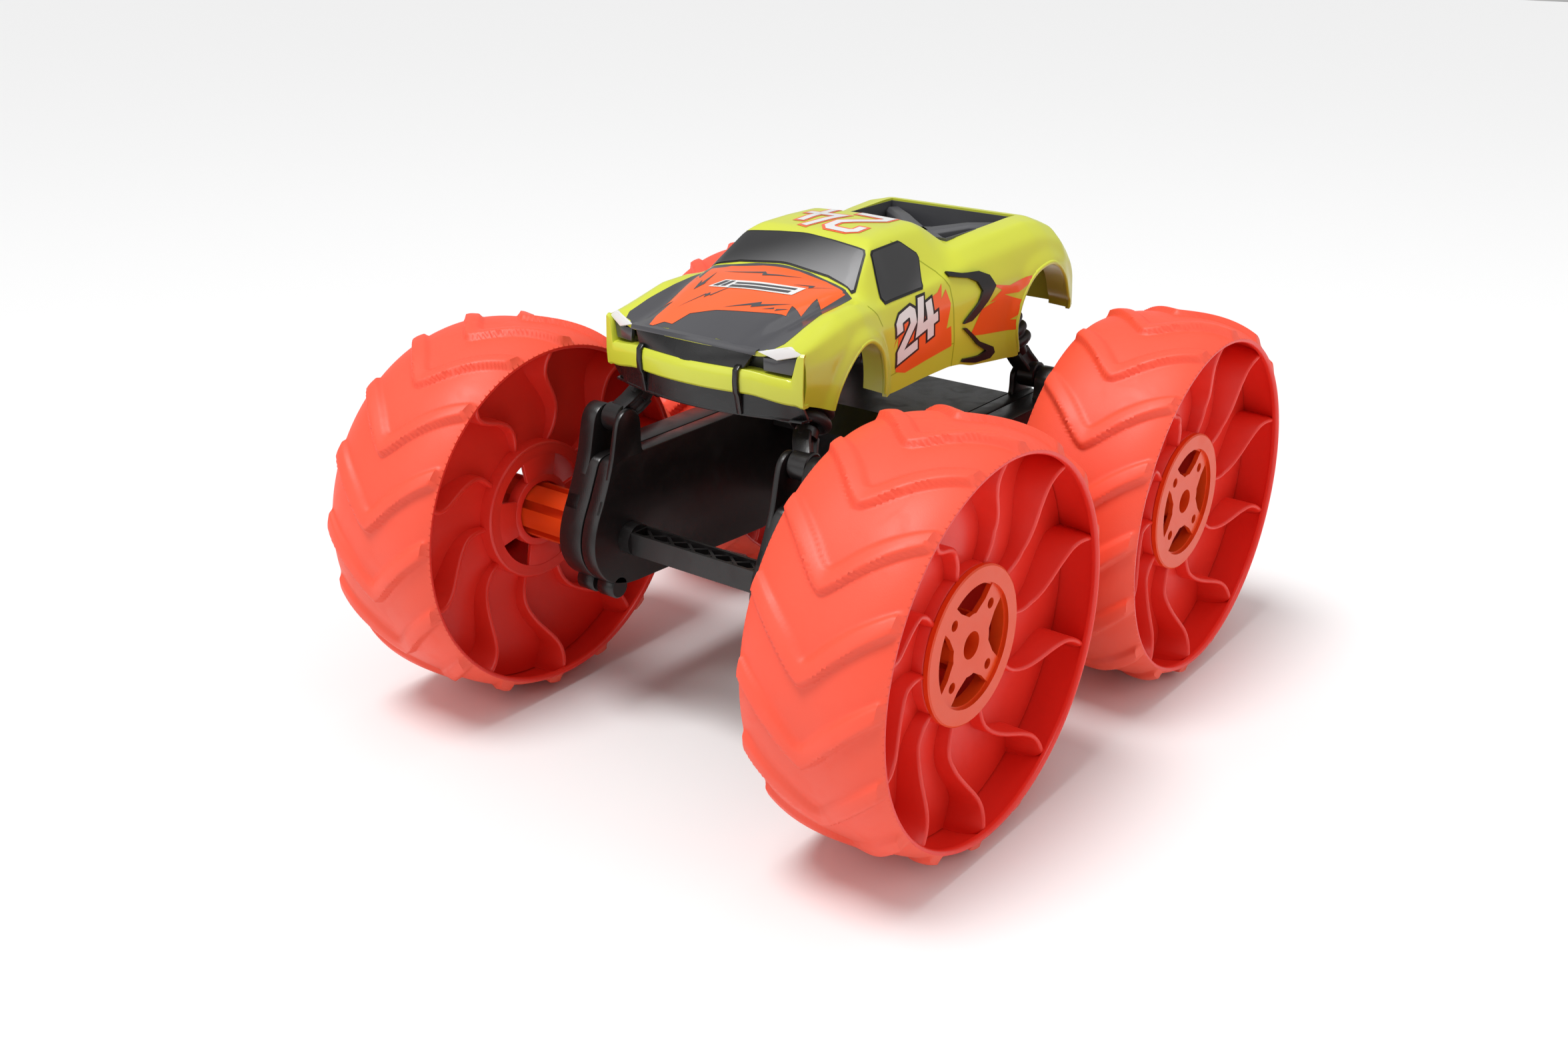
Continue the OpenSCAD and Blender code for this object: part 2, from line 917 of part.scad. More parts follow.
module headlight_solids(g) {
    for (side = [LEFT, RIGHT])
        on_side(side)
            along_x(-6 - g, 10)
                polygon([
                    [27.5 - g, 83 + g], [42 + g, 86 + g], [41 + g, 76 - g], [28 - g, 74 - g]
                ]);
}

module headlights() {
    color("white")
        at_axle(FRONT)
            for (side = [LEFT, RIGHT])
                on_side(side)
                    intersection() {
                        along_x(-6, 3)
                            polygon([[27.6, 83], [40.5, 85.4], [40, 76.5], [28, 74.2]]);
                        along_y(20, 50)
                            polygon([[-1, 88], [0.5, 82], [1.5, 72], [-2.5, 72], [-4, 82], [-5, 88]]);
                    }
}

module bumper_guard() {
    color(black)
        at_axle(FRONT) {
            // ribbed lower lip
            translate([0, 0, lip_z])
                linear_extrude(2.2)
                    polygon([
                        [10, -18], [9, -27], [3, -40], [-2, -41], [-1, -30],
                        [-1, 30], [-2, 41], [3, 40], [9, 27], [10, 18]
                    ]);
            // uprights in front of the bumper
            for (side = [LEFT, RIGHT])
                on_side(side)
                    along_y(20, 23)
                        polygon([
                            [8, lip_z], [10.5, lip_z], [10.2, 66], [9.3, 76], [6.8, 76.5],
                            [7.6, 74], [8.2, 66]
                        ]);
        }
}

module vent_2d(g) {
    polygon([
        [-96, 93 + g], [-113, 91 + g], [-121.5 - g, 84], [-105, 73.5 - g],
        [-102 + g, 73.5 - g], [-111.5 + g, 84], [-109, 88 - g], [-96, 91 - g]
    ]);
    polygon([
        [-103, 71.5 + g], [-122, 60 + g], [-124 - g, 57], [-121, 55.5 - g],
        [-103, 57.5 - g], [-103, 59.4], [-118 + g, 59.2], [-103, 69.5]
    ]);
}

module vent_solids(g) {
    for (side = [LEFT, RIGHT])
        on_side(side)
            along_y(body_half_w - 1.2 - g, body_half_w + 10)
                vent_2d(g);
}

module side_vents() {
    color(black)
        at_axle(FRONT)
            for (side = [LEFT, RIGHT])
                on_side(side)
                    along_y(body_half_w - 1.2, body_half_w - 0.2)
                        vent_2d(0);
}

module bed_insert() {
    color(dark_grey)
        at_axle(FRONT) {
            span([bed_x[0] + 0.3, -bed_half + 0.3, bed_floor + 0.05], [bed_x[1] - 0.3, bed_half - 0.3, bed_floor + 1.6]);
            // raised X brace
            intersection() {
                span([bed_x[0] + 0.3, -bed_half + 0.3, bed_floor], [bed_x[1] - 0.3, bed_half - 0.3, bed_floor + 5]);
                for (turn = [-1, 1])
                    translate([(bed_x[0] + bed_x[1]) / 2, 0, bed_floor + 2.6])
                        rotate(turn * 46)
                            cube([8, 90, 4.8], center = true);
            }
        }
}

// Frame inside the shell: a spine and two cross beams that take the shocks

module body_frame() {
    color(black)
        difference() {
            at_axle(FRONT) {
                span([-150, -5, 84], [-20, 5, 87]);
                for (x = frame_x)
                    span([x - 4, -40, 80], [x + 4, 40, 84]);
            }
            boot_room();
        }
}

module body_screws() {
    color("gray")
        at_axle(FRONT)
            for (x = frame_x)
                for (side = [LEFT, RIGHT])
                    translate([x, side * 20, 78.6])
                        cylinder(r = 2.4, h = 1.4);
}

body_shell();
windshield();
side_windows();
grille_insert();
headlights();
bumper_guard();
side_vents();
bed_insert();
body_frame();
body_screws();
rail_outer(LEFT);  // rail_left_outer
rail_inner(LEFT);  // rail_left_inner
rail_outer(RIGHT);  // rail_right_outer
rail_inner(RIGHT);  // rail_right_inner
tub_base();
deck_cover();
cross_tube(FRONT);  // front_cross_tube
cross_tube(REAR);  // rear_cross_tube
battery_door();
battery_pack();
circuit_board();
power_switch();
drive_motors();
gear_pins();
chassis_screws();
shock_pins();
wheel(FRONT, LEFT);  // wheel_front_left
wheel(FRONT, RIGHT);  // wheel_front_right
wheel(REAR, LEFT);  // wheel_rear_left
wheel(REAR, RIGHT);  // wheel_rear_right
hub_axle(FRONT, LEFT);  // hub_axle_front_left
hub_axle(FRONT, RIGHT);  // hub_axle_front_right
hub_axle(REAR, LEFT);  // hub_axle_rear_left
hub_axle(REAR, RIGHT);  // hub_axle_rear_right
output_gear(FRONT, LEFT);  // output_gear_front_left
output_gear(FRONT, RIGHT);  // output_gear_front_right
output_gear(REAR, LEFT);  // output_gear_rear_left
output_gear(REAR, RIGHT);  // output_gear_rear_right
idler_gear(LEFT, 1);  // idler_gear_left_1
idler_gear(LEFT, 2);  // idler_gear_left_2
idler_gear(LEFT, 3);  // idler_gear_left_3
idler_gear(LEFT, 4);  // idler_gear_left_4
idler_gear(LEFT, 5);  // idler_gear_left_5
idler_gear(RIGHT, 1);  // idler_gear_right_1
idler_gear(RIGHT, 2);  // idler_gear_right_2
idler_gear(RIGHT, 3);  // idler_gear_right_3
idler_gear(RIGHT, 4);  // idler_gear_right_4
idler_gear(RIGHT, 5);  // idler_gear_right_5
pinion(LEFT);  // pinion_left
pinion(RIGHT);  // pinion_right
shock_rod(FRONT, LEFT);  // shock_rod_front_left
shock_rod(FRONT, RIGHT);  // shock_rod_front_right
shock_rod(REAR, LEFT);  // shock_rod_rear_left
shock_rod(REAR, RIGHT);  // shock_rod_rear_right
shock_boot(FRONT, LEFT);  // shock_boot_front_left
shock_boot(FRONT, RIGHT);  // shock_boot_front_right
shock_boot(REAR, LEFT);  // shock_boot_rear_left
shock_boot(REAR, RIGHT);  // shock_boot_rear_right
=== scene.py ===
import bpy
import bmesh
import math
from mathutils import Vector, Matrix
from mathutils.bvhtree import BVHTree
from mathutils.geometry import delaunay_2d_cdt


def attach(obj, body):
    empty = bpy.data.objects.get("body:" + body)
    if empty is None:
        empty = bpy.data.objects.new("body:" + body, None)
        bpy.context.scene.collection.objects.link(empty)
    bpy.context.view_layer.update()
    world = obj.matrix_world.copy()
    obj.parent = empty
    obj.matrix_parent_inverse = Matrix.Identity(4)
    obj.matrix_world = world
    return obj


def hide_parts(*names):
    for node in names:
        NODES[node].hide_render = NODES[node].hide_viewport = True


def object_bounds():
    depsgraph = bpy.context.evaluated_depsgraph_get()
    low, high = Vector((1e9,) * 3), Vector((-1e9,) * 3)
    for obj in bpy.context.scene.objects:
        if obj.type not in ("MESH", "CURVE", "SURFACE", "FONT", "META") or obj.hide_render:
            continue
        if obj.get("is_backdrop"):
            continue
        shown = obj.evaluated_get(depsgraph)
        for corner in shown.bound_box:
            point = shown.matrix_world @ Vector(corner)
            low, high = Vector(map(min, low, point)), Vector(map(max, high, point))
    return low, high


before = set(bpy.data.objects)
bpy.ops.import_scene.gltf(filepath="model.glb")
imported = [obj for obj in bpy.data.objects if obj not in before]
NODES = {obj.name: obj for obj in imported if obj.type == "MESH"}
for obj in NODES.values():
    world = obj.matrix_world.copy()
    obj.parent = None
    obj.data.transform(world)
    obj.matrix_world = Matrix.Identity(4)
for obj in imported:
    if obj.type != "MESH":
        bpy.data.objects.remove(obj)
CAD_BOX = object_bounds()

MM = 0.001
AXLE_X = 81.0
AXLE_Z = 73.567
TRACK = 97.4
ENDS = {"front": 1, "rear": -1}
SIDES = {"left": 1, "right": -1}
CREASE = 42  # edges bent more than this many degrees are shaded hard


# ---- helpers: meshes ----

def at_front(p):
    """A point in mm from the middle of the front axle, as metres in the row frame."""
    return Vector(((p[0] + AXLE_X) * MM, p[1] * MM, (p[2] + AXLE_Z) * MM))


def mesh_piece(name, verts, faces, material, smooth=True):
    mesh = bpy.data.meshes.new(name)
    mesh.from_pydata([tuple(v) for v in verts], [], faces)
    mesh.validate()
    mesh.update()
    obj = bpy.data.objects.new(name, mesh)
    bpy.context.collection.objects.link(obj)
    mesh.materials.append(material)
    for poly in mesh.polygons:
        poly.use_smooth = smooth
    return obj


def mark_sharp(mesh, angle):
    """Edges bent more than the angle in degrees are shaded hard."""
    bm = bmesh.new()
    bm.from_mesh(mesh)
    limit = math.radians(angle)
    for edge in bm.edges:
        edge.smooth = len(edge.link_faces) != 2 or edge.calc_face_angle(0) < limit
    bm.to_mesh(mesh)
    bm.free()


def shade_smooth(obj, angle=None):
    """Smooth shading; edges bent more than the angle in degrees stay hard."""
    for poly in obj.data.polygons:
        poly.use_smooth = True
    if angle is not None:
        mark_sharp(obj.data, angle)
    return obj


def outward(obj):
    """Welds the points that meet and turns all faces outwards."""
    bm = bmesh.new()
    bm.from_mesh(obj.data)
    bmesh.ops.remove_doubles(bm, verts=bm.verts, dist=1e-6)
    bmesh.ops.recalc_face_normals(bm, faces=bm.faces)
    bm.to_mesh(obj.data)
    bm.free()
    return obj


def apply_modifiers(obj):
    """Turns what the modifiers make into the piece's own plain mesh."""
    graph = bpy.context.evaluated_depsgraph_get()
    mesh = bpy.data.meshes.new_from_object(obj.evaluated_get(graph))
    obj.modifiers.clear()
    old = obj.data
    obj.data = mesh
    bpy.data.meshes.remove(old)
    return obj


def walled(obj, thickness, offset=0):
    """A sheet grown to a wall of that many mm: evenly, or to one side with an offset of 1 or -1."""
    wall = obj.modifiers.new("wall", "SOLIDIFY")
    wall.thickness = thickness * MM
    wall.offset = offset
    return apply_modifiers(obj)


def discard(obj):
    old = obj.data
    bpy.data.objects.remove(obj)
    bpy.data.meshes.remove(old)


def joined(name, parts):
    """Several pieces made into one mesh; materials are kept."""
    verts, faces, mats, slots = [], [], [], []
    flags = []
    for part in parts:
        base = len(verts)
        verts += [v.co.copy() for v in part.data.vertices]
        for poly in part.data.polygons:
            material = part.data.materials[poly.material_index]
            if material not in mats:
                mats.append(material)
            faces.append([base + i for i in poly.vertices])
            slots.append(mats.index(material))
            flags.append(poly.use_smooth)
    mesh = bpy.data.meshes.new(name)
    mesh.from_pydata(verts, [], faces)
    for material in mats:
        mesh.materials.append(material)
    for poly, slot, flag in zip(mesh.polygons, slots, flags):
        poly.material_index = slot
        poly.use_smooth = flag
    mesh.update()
    obj = bpy.data.objects.new(name, mesh)
    bpy.context.collection.objects.link(obj)
    for part in parts:
        discard(part)
    mark_sharp(mesh, CREASE)
    return obj


def grid_faces(rows, cols, close_rows=False, close_cols=False):
    faces = []
    for i in range(rows if close_rows else rows - 1):
        for j in range(cols if close_cols else cols - 1):
            a = i * cols + j
            b = i * cols + (j + 1) % cols
            c = ((i + 1) % rows) * cols + (j + 1) % cols
            d = ((i + 1) % rows) * cols + j
            faces.append([a, b, c, d])
    return faces


def sheet(name, rows, material):
    """A sheet through rows of points in mm from the middle of the front axle."""
    verts = [at_front(p) for row in rows for p in row]
    return mesh_piece(name, verts, grid_faces(len(rows), len(rows[0])), material)


def plate(name, front, back, material, bevel):
    """A closed plate between two outlines in mm that have the same number of points."""
    n = len(front)
    faces = [list(range(n)), list(range(2 * n - 1, n - 1, -1))]
    faces += [[i, n + i, n + (i + 1) % n, (i + 1) % n] for i in range(n)]
    verts = [at_front(p) for p in front + back]
    return soften(outward(mesh_piece(name, verts, faces, material)), bevel)


def prism(name, outline, axis, low, high, material, place=at_front, bevel=0.0):
    """A flat outline in mm pushed from low to high along one axis; bevelled by that many mm."""
    order = {"x": (1, 2), "y": (0, 2), "z": (0, 1)}[axis]
    verts = []
    for level in (low, high):
        for p in outline:
            q = [level, level, level]
            q[order[0]], q[order[1]] = p
            verts.append(place(q))
    n = len(outline)
    faces = [list(range(n - 1, -1, -1)), list(range(n, 2 * n))]
    faces += [[i, (i + 1) % n, n + (i + 1) % n, n + i] for i in range(n)]
    obj = outward(mesh_piece(name, verts, faces, material))
    if bevel:
        soften(obj, bevel)
    mark_sharp(obj.data, CREASE)
    return obj


def soften(obj, width):
    """Rounds the edges by that many mm."""
    mod = obj.modifiers.new("rounded edges", "BEVEL")
    mod.width = width * MM
    mod.segments = 2
    mod.limit_method = "ANGLE"
    mod.angle_limit = math.radians(35)
    return shade_smooth(apply_modifiers(obj))


def bar_along(name, path, width, depth, material):
    """A flat bar that follows a path in a plane of constant y; width runs along y."""
    verts = []
    n = len(path)
    for i, (x, y, z) in enumerate(path):
        a = path[max(i - 1, 0)]
        b = path[min(i + 1, n - 1)]
        d = Vector((b[0] - a[0], b[2] - a[2])).normalized()
        nx, nz = -d.y * depth / 2, d.x * depth / 2
        for sx, sy in ((1, 1), (1, -1), (-1, -1), (-1, 1)):
            verts.append(at_front((x + sx * nx, y + sy * width / 2, z + sx * nz)))
    faces = grid_faces(n, 4, close_cols=True)
    faces += [[0, 1, 2, 3], [4 * n - 1, 4 * n - 2, 4 * n - 3, 4 * n - 4]]
    return soften(outward(mesh_piece(name, verts, faces, material)), 0.35)


def tube_along(name, path, radius, material):
    """A round bead along a path in mm."""
    around = 10
    verts = []
    n = len(path)
    for i in range(n):
        a = Vector(path[max(i - 1, 0)])
        b = Vector(path[min(i + 1, n - 1)])
        d = (b - a).normalized()
        side = d.cross(Vector((0, 1, 0)) if abs(d.y) < 0.9 else Vector((0, 0, 1))).normalized()
        up = d.cross(side)
        for k in range(around):
            t = 2 * math.pi * k / around
            verts.append(at_front(Vector(path[i]) + radius * (math.cos(t) * side + math.sin(t) * up)))
    faces = grid_faces(n, around, close_cols=True)
    faces += [list(range(around - 1, -1, -1)), [(n - 1) * around + k for k in range(around)]]
    return outward(mesh_piece(name, verts, faces, material))


def lathe_y(name, profile, material, place, steps=128, closed=True):
    """A profile of (radius, y) in mm turned about the Y axis through place's origin."""
    verts = []
    for i in range(steps):
        t = 2 * math.pi * i / steps
        verts += [place((r * math.cos(t), y, r * math.sin(t))) for r, y in profile]
    faces = grid_faces(steps, len(profile), close_rows=True, close_cols=closed)
    return outward(mesh_piece(name, verts, faces, material))


# ---- helpers: numbers ----

def table(rows, x):
    """Linear interpolation in rows of (x, values...), x falling from row to row."""
    if x >= rows[0][0]:
        return list(rows[0][1:])
    for a, b in zip(rows, rows[1:]):
        if x >= b[0]:
            f = (a[0] - x) / (a[0] - b[0])
            return [p + (q - p) * f for p, q in zip(a[1:], b[1:])]
    return list(rows[-1][1:])


def ease(x, a, b):
    """0 below a, 1 above b, smooth between."""
    t = min(1.0, max(0.0, (x - a) / (b - a)))
    return t * t * (3 - 2 * t)


def inside(poly, x, y):
    hit = False
    for (x0, y0), (x1, y1) in zip(poly, poly[1:] + poly[:1]):
        if (y0 > y) != (y1 > y) and x < (x1 - x0) * (y - y0) / (y1 - y0) + x0:
            hit = not hit
    return hit


def nearest_on(poly, x, y):
    """Distance from a point to a closed outline, and the nearest point on it."""
    best = (1e9, (x, y))
    for (x0, y0), (x1, y1) in zip(poly, poly[1:] + poly[:1]):
        dx, dy = x1 - x0, y1 - y0
        t = max(0.0, min(1.0, ((x - x0) * dx + (y - y0) * dy) / (dx * dx + dy * dy + 1e-12)))
        px, py = x0 + t * dx, y0 + t * dy
        d = math.hypot(x - px, y - py)
        if d < best[0]:
            best = (d, (px, py))
    return best


def flowing(points, per=8):
    """A smooth open curve through the points."""
    out = []
    n = len(points)
    for i in range(n - 1):
        p0, p1 = points[max(i - 1, 0)], points[i]
        p2, p3 = points[i + 1], points[min(i + 2, n - 1)]
        for k in range(per):
            t = k / per
            out.append(tuple(
                0.5 * (2 * b + (c - a) * t + (2 * a - 5 * b + 4 * c - d) * t * t
                       + (3 * b - a - 3 * c + d) * t ** 3)
                for a, b, c, d in zip(p0, p1, p2, p3)))
    out.append(tuple(points[-1]))
    return out


# ---- materials ----

def add_node(tree, kind, inputs, **settings):
    """A new node; each input is given a value, or the output that feeds it."""
    node = tree.nodes.new(kind)
    for word, value in settings.items():
        setattr(node, word, value)
    for key, value in inputs.items():
        if isinstance(value, bpy.types.NodeSocket):
            tree.links.new(value, node.inputs[key])
        else:
            node.inputs[key].default_value = value
    return node


def new_group(name, inputs, outputs):
    tree = bpy.data.node_groups.new(name, "ShaderNodeTree")
    for label, kind, value in inputs:
        socket = tree.interface.new_socket(label, in_out="INPUT", socket_type=kind)
        if value is not None:
            socket.default_value = value
    for label, kind in outputs:
        tree.interface.new_socket(label, in_out="OUTPUT", socket_type=kind)
    return tree, tree.nodes.new("NodeGroupInput"), tree.nodes.new("NodeGroupOutput")


def moulding_group():
    """Moulded plastic: slow colour drift, fine grain in the tool, and faint handling rubs."""
    tree, start, end = new_group(
        "moulded plastic",
        [("Color", "NodeSocketColor", (0.5, 0.5, 0.5, 1)), ("Drift", "NodeSocketFloat", 0.06),
         ("Roughness", "NodeSocketFloat", 0.4), ("Rubs", "NodeSocketFloat", 0.1),
         ("Grain scale", "NodeSocketFloat", 2600.0)],
        [("Color", "NodeSocketColor"), ("Roughness", "NodeSocketFloat"), ("Height", "NodeSocketFloat")])
    place = add_node(tree, "ShaderNodeTexCoord", {}).outputs["Object"]
    cloud = add_node(tree, "ShaderNodeTexNoise", {"Vector": place, "Scale": 28, "Detail": 3})
    spread = add_node(tree, "ShaderNodeMapRange", {"Value": cloud.outputs["Fac"], "To Min": -1})
    amount = add_node(tree, "ShaderNodeMath", {
        0: spread.outputs["Result"], 1: start.outputs["Drift"], 2: 1}, operation="MULTIPLY_ADD")
    tint = add_node(tree, "ShaderNodeHueSaturation", {
        "Color": start.outputs["Color"], "Value": amount.outputs[0]})
    rub = add_node(tree, "ShaderNodeTexNoise", {
        "Vector": place, "Scale": 90, "Detail": 6, "Distortion": 1.2})
    wear = add_node(tree, "ShaderNodeMapRange", {
        "Value": rub.outputs["Fac"], "From Min": 0.45, "From Max": 0.75})
    rough = add_node(tree, "ShaderNodeMath", {
        0: wear.outputs["Result"], 1: start.outputs["Rubs"], 2: start.outputs["Roughness"]},
        operation="MULTIPLY_ADD")
    grain = add_node(tree, "ShaderNodeTexNoise", {
        "Vector": place, "Scale": start.outputs["Grain scale"], "Detail": 2})
    tree.links.new(tint.outputs["Color"], end.inputs["Color"])
    tree.links.new(rough.outputs[0], end.inputs["Roughness"])
    tree.links.new(grain.outputs["Fac"], end.inputs["Height"])
    return tree


MOULDING = moulding_group()


def plastic(name, color, roughness, drift, rubs, grain, coat=0.0, metallic=0.0, scatter=0.0):
    """A material of moulded plastic; grain is the strength of its fine surface."""
    material = bpy.data.materials.new(name)
    material.use_nodes = True
    tree = material.node_tree
    shader = tree.nodes["Principled BSDF"]
    group = tree.nodes.new("ShaderNodeGroup")
    group.node_tree = MOULDING
    group.inputs["Color"].default_value = (*color, 1)
    group.inputs["Roughness"].default_value = roughness
    group.inputs["Drift"].default_value = drift
    group.inputs["Rubs"].default_value = rubs
    bump = tree.nodes.new("ShaderNodeBump")
    bump.inputs["Strength"].default_value = grain
    bump.inputs["Distance"].default_value = 0.0002
    tree.links.new(group.outputs["Height"], bump.inputs["Height"])
    tree.links.new(bump.outputs["Normal"], shader.inputs["Normal"])
    tree.links.new(group.outputs["Color"], shader.inputs["Base Color"])
    tree.links.new(group.outputs["Roughness"], shader.inputs["Roughness"])
    shader.inputs["Metallic"].default_value = metallic
    shader.inputs["Coat Weight"].default_value = coat
    shader.inputs["Coat Roughness"].default_value = 0.08
    if scatter:
        shader.inputs["Subsurface Weight"].default_value = scatter
        shader.inputs["Subsurface Radius"].default_value = (0.004, 0.0016, 0.0008)
        shader.inputs["Subsurface Scale"].default_value = 0.6
    return material


def glazing(name, direction, low, high):
    """Dark glazing with a painted reflection: its colour fades from near black to grey along a direction in the
    row frame.
    """
    material = plastic(name, (0.02, 0.02, 0.022), 0.14, 0.1, 0.06, 0.02, coat=0.8)
    tree = material.node_tree
    where = add_node(tree, "ShaderNodeTexCoord", {}).outputs["Object"]
    along = add_node(tree, "ShaderNodeVectorMath", {0: where, 1: direction}, operation="DOT_PRODUCT")
    span = add_node(tree, "ShaderNodeMapRange", {
        "Value": along.outputs["Value"], "From Min": low, "From Max": high},
        interpolation_type="SMOOTHSTEP")
    # painted reflection: the colour runs from near black to grey along the direction
    painted_reflection = add_node(tree, "ShaderNodeMix", {}, data_type="RGBA")
    painted_reflection.inputs["A"].default_value = (0.012, 0.012, 0.013, 1)
    painted_reflection.inputs["B"].default_value = (0.27, 0.27, 0.275, 1)
    tree.links.new(span.outputs["Result"], painted_reflection.inputs["Factor"])
    group = next(n for n in tree.nodes if n.type == "GROUP")
    tree.links.new(painted_reflection.outputs["Result"], group.inputs["Color"])
    return material


LIME = plastic("lime shell", (0.60, 0.64, 0.045), 0.3, 0.04, 0.08, 0.05, coat=0.25)
# a darker copy of the lime, laid along the door creases as painted shade
DOOR_CREASE_SHADE = plastic("lime with painted crease shade", (0.36, 0.42, 0.012), 0.4, 0.04, 0.08, 0.05)
# window glazing with a painted reflection that fades to grey
GLAZING_PAINTED_REFLECTION = glazing("windscreen glazing", (0.45, 0.55, -1.0), -0.176, -0.14)
SIDE_GLAZING_PAINTED_REFLECTION = glazing("side glazing", (-0.6, 0.0, -1.0), -0.172, -0.14)
SEAM_BLACK = plastic("black edging", (0.006, 0.006, 0.006), 0.4, 0.05, 0.1, 0.05)
HOOD_GREY = plastic("hood print grey", (0.055, 0.055, 0.062), 0.28, 0.05, 0.06, 0.03, coat=0.4)
ORANGE_PRINT = plastic("orange print", (0.9, 0.115, 0.012), 0.28, 0.04, 0.06, 0.03, coat=0.4)
WHITE_PRINT = plastic("white print", (0.78, 0.78, 0.77), 0.28, 0.02, 0.06, 0.03, coat=0.4)
BLACK = plastic("black chassis plastic", (0.009, 0.0075, 0.0075), 0.28, 0.15, 0.16, 0.25)
TRIM = plastic("black trim plastic", (0.009, 0.009, 0.0095), 0.26, 0.1, 0.12, 0.1)
GREY = plastic("grey bed plastic", (0.07, 0.07, 0.078), 0.42, 0.08, 0.1, 0.2)
RUBBER = plastic("boot rubber", (0.021, 0.017, 0.017), 0.45, 0.15, 0.15, 0.3)
# one coral plastic in two copies: the tread's lighter colour is painted sheen, and the deeper red of the drum,
# blades and hub is painted shade from light trapped inside the drum
CORAL_TREAD_PAINTED_SHEEN = plastic("coral tread plastic, painted sheen", (0.88, 0.085, 0.04), 0.48, 0.03, 0.1, 0.2, scatter=0.1)
CORAL_DRUM_PAINTED_SHADE = plastic("coral drum plastic, painted shade", (0.84, 0.032, 0.018), 0.34, 0.03, 0.08, 0.1, scatter=0.1)
ORANGE = plastic("orange hub plastic", (0.82, 0.065, 0.006), 0.32, 0.04, 0.08, 0.12, scatter=0.12)
IVORY = plastic("gear plastic", (0.76, 0.73, 0.63), 0.4, 0.04, 0.08, 0.1)
BRASS = plastic("pinion brass", (0.78, 0.56, 0.22), 0.3, 0.08, 0.12, 0.1, metallic=1.0)
STEEL = plastic("plated steel", (0.55, 0.55, 0.54), 0.32, 0.08, 0.14, 0.1, metallic=1.0)
BOARD = plastic("board green", (0.015, 0.14, 0.045), 0.35, 0.1, 0.1, 0.1)
CELL = plastic("cell wrap", (0.03, 0.12, 0.36), 0.3, 0.05, 0.1, 0.05)
FLOOR = plastic("studio floor", (0.86, 0.86, 0.86), 0.6, 0.0, 0.0, 0.0)


# ---- body shell ----

# Half sections from nose to tail: x, then (y, z) from the crown to the bottom edge, in mm
# from the front axle: crown, crease, its foot, crest, shoulder, upper side, side, bottom
SECTIONS = [
    (7, 0, 85, 20, 84.8, 28, 83.4, 38.5, 86.1, 43, 84.3, 44, 79, 44.2, 73, 43.4, 66.4),
    (-10, 0, 90.2, 22.5, 89.9, 26.5, 87, 37, 89.7, 42.6, 87.2, 45, 80, 45, 71, 44.2, 61.8),
    (-25, 0, 94.2, 25.5, 93.5, 29.2, 90.3, 37.5, 92.6, 42.6, 89.3, 45.2, 82, 44.9, 72, 44, 59.8),
    (-38, 0, 96.8, 28.4, 95.6, 31.4, 92.6, 37.5, 92.9, 41.6, 90, 44.2, 82, 44, 72, 43, 58.4),
    (-45, 0, 98, 30.2, 95.8, 32.6, 93.6, 37, 91.9, 40.2, 89.2, 43, 81, 43, 70, 42, 57.2),
    (-53, 0, 103.2, 28.6, 101.2, 31.4, 99.2, 36.4, 91.2, 38.8, 88.4, 41.4, 81, 41.5, 68, 40.8, 56.6),
    (-61, 0, 109, 26, 107.2, 28.4, 106, 36.1, 91.4, 38.4, 88.6, 40.8, 80, 41.2, 68, 40.6, 56.3),
    (-66, 0, 110.4, 24, 109.4, 27.2, 107.5, 35.9, 91.8, 38.4, 88.8, 40.7, 80, 41.2, 68, 40.5, 56.4),
    (-80, 0, 111.2, 22, 110.5, 26.8, 108.2, 35.9, 92.2, 38.6, 89.4, 40.8, 80, 41.2, 68, 40.5, 57),
    (-97, 0, 110.9, 22, 110.3, 26.2, 108, 35.8, 94.2, 38.8, 91, 41.2, 81, 41.6, 68, 41, 57.4),
    (-104, 0, 108, 22, 107.4, 25.8, 105.6, 35.4, 96, 39.2, 92.4, 42.6, 82, 42.8, 68, 42, 57),
    (-110, 0, 102, 22, 102, 28.4, 101.2, 34.6, 98.8, 39.8, 94, 43.8, 83, 43.8, 68, 42.8, 55.2),
    (-127, 0, 102.2, 24, 102.2, 30.6, 102.2, 35.6, 100.6, 41, 95, 45, 84, 44.6, 68, 43.6, 53.4),
    (-140, 0, 102.6, 24, 102.6, 31, 102.7, 36.4, 101.8, 42, 96, 45.8, 84, 45.2, 68, 44.2, 52.2),
    (-156, 0, 103.2, 24, 103.2, 31.4, 103.4, 37.2, 102.6, 42.8, 96.8, 46.2, 86, 45.6, 70, 44.6, 54),
    (-165, 0, 103.2, 24, 103.2, 32, 103.2, 37.6, 101.6, 43, 95.8, 46.2, 86, 45.6, 71, 44.6, 58),
    (-177, 0, 99.6, 24, 99.5, 32, 99.2, 38.4, 97.2, 43, 92.4, 45.8, 85, 45.2, 72, 44.2, 61),
    (-184.5, 0, 91, 24, 91, 32, 90.8, 38, 89.4, 42.2, 86.4, 44.6, 82, 44.4, 72, 43.6, 62.4),
    (-189.5, 0, 77, 24, 77, 32, 77, 38, 76.8, 41.6, 76.2, 43.4, 74.8, 43.6, 70, 43, 63),
    (-191, 0, 64, 24, 64, 32, 64, 37.6, 64, 40.6, 64, 42, 63.8, 42.6, 63.6, 42.8, 63.2),
]
FRONT_ARCH = flowing([
    (-14, 40), (-15.6, 56), (-16.4, 60.8), (-20, 69.6), (-26.6, 77), (-34.6, 81), (-41.6, 80),
    (-48.6, 74.6), (-51.8, 67), (-53.2, 58), (-53.6, 40)])
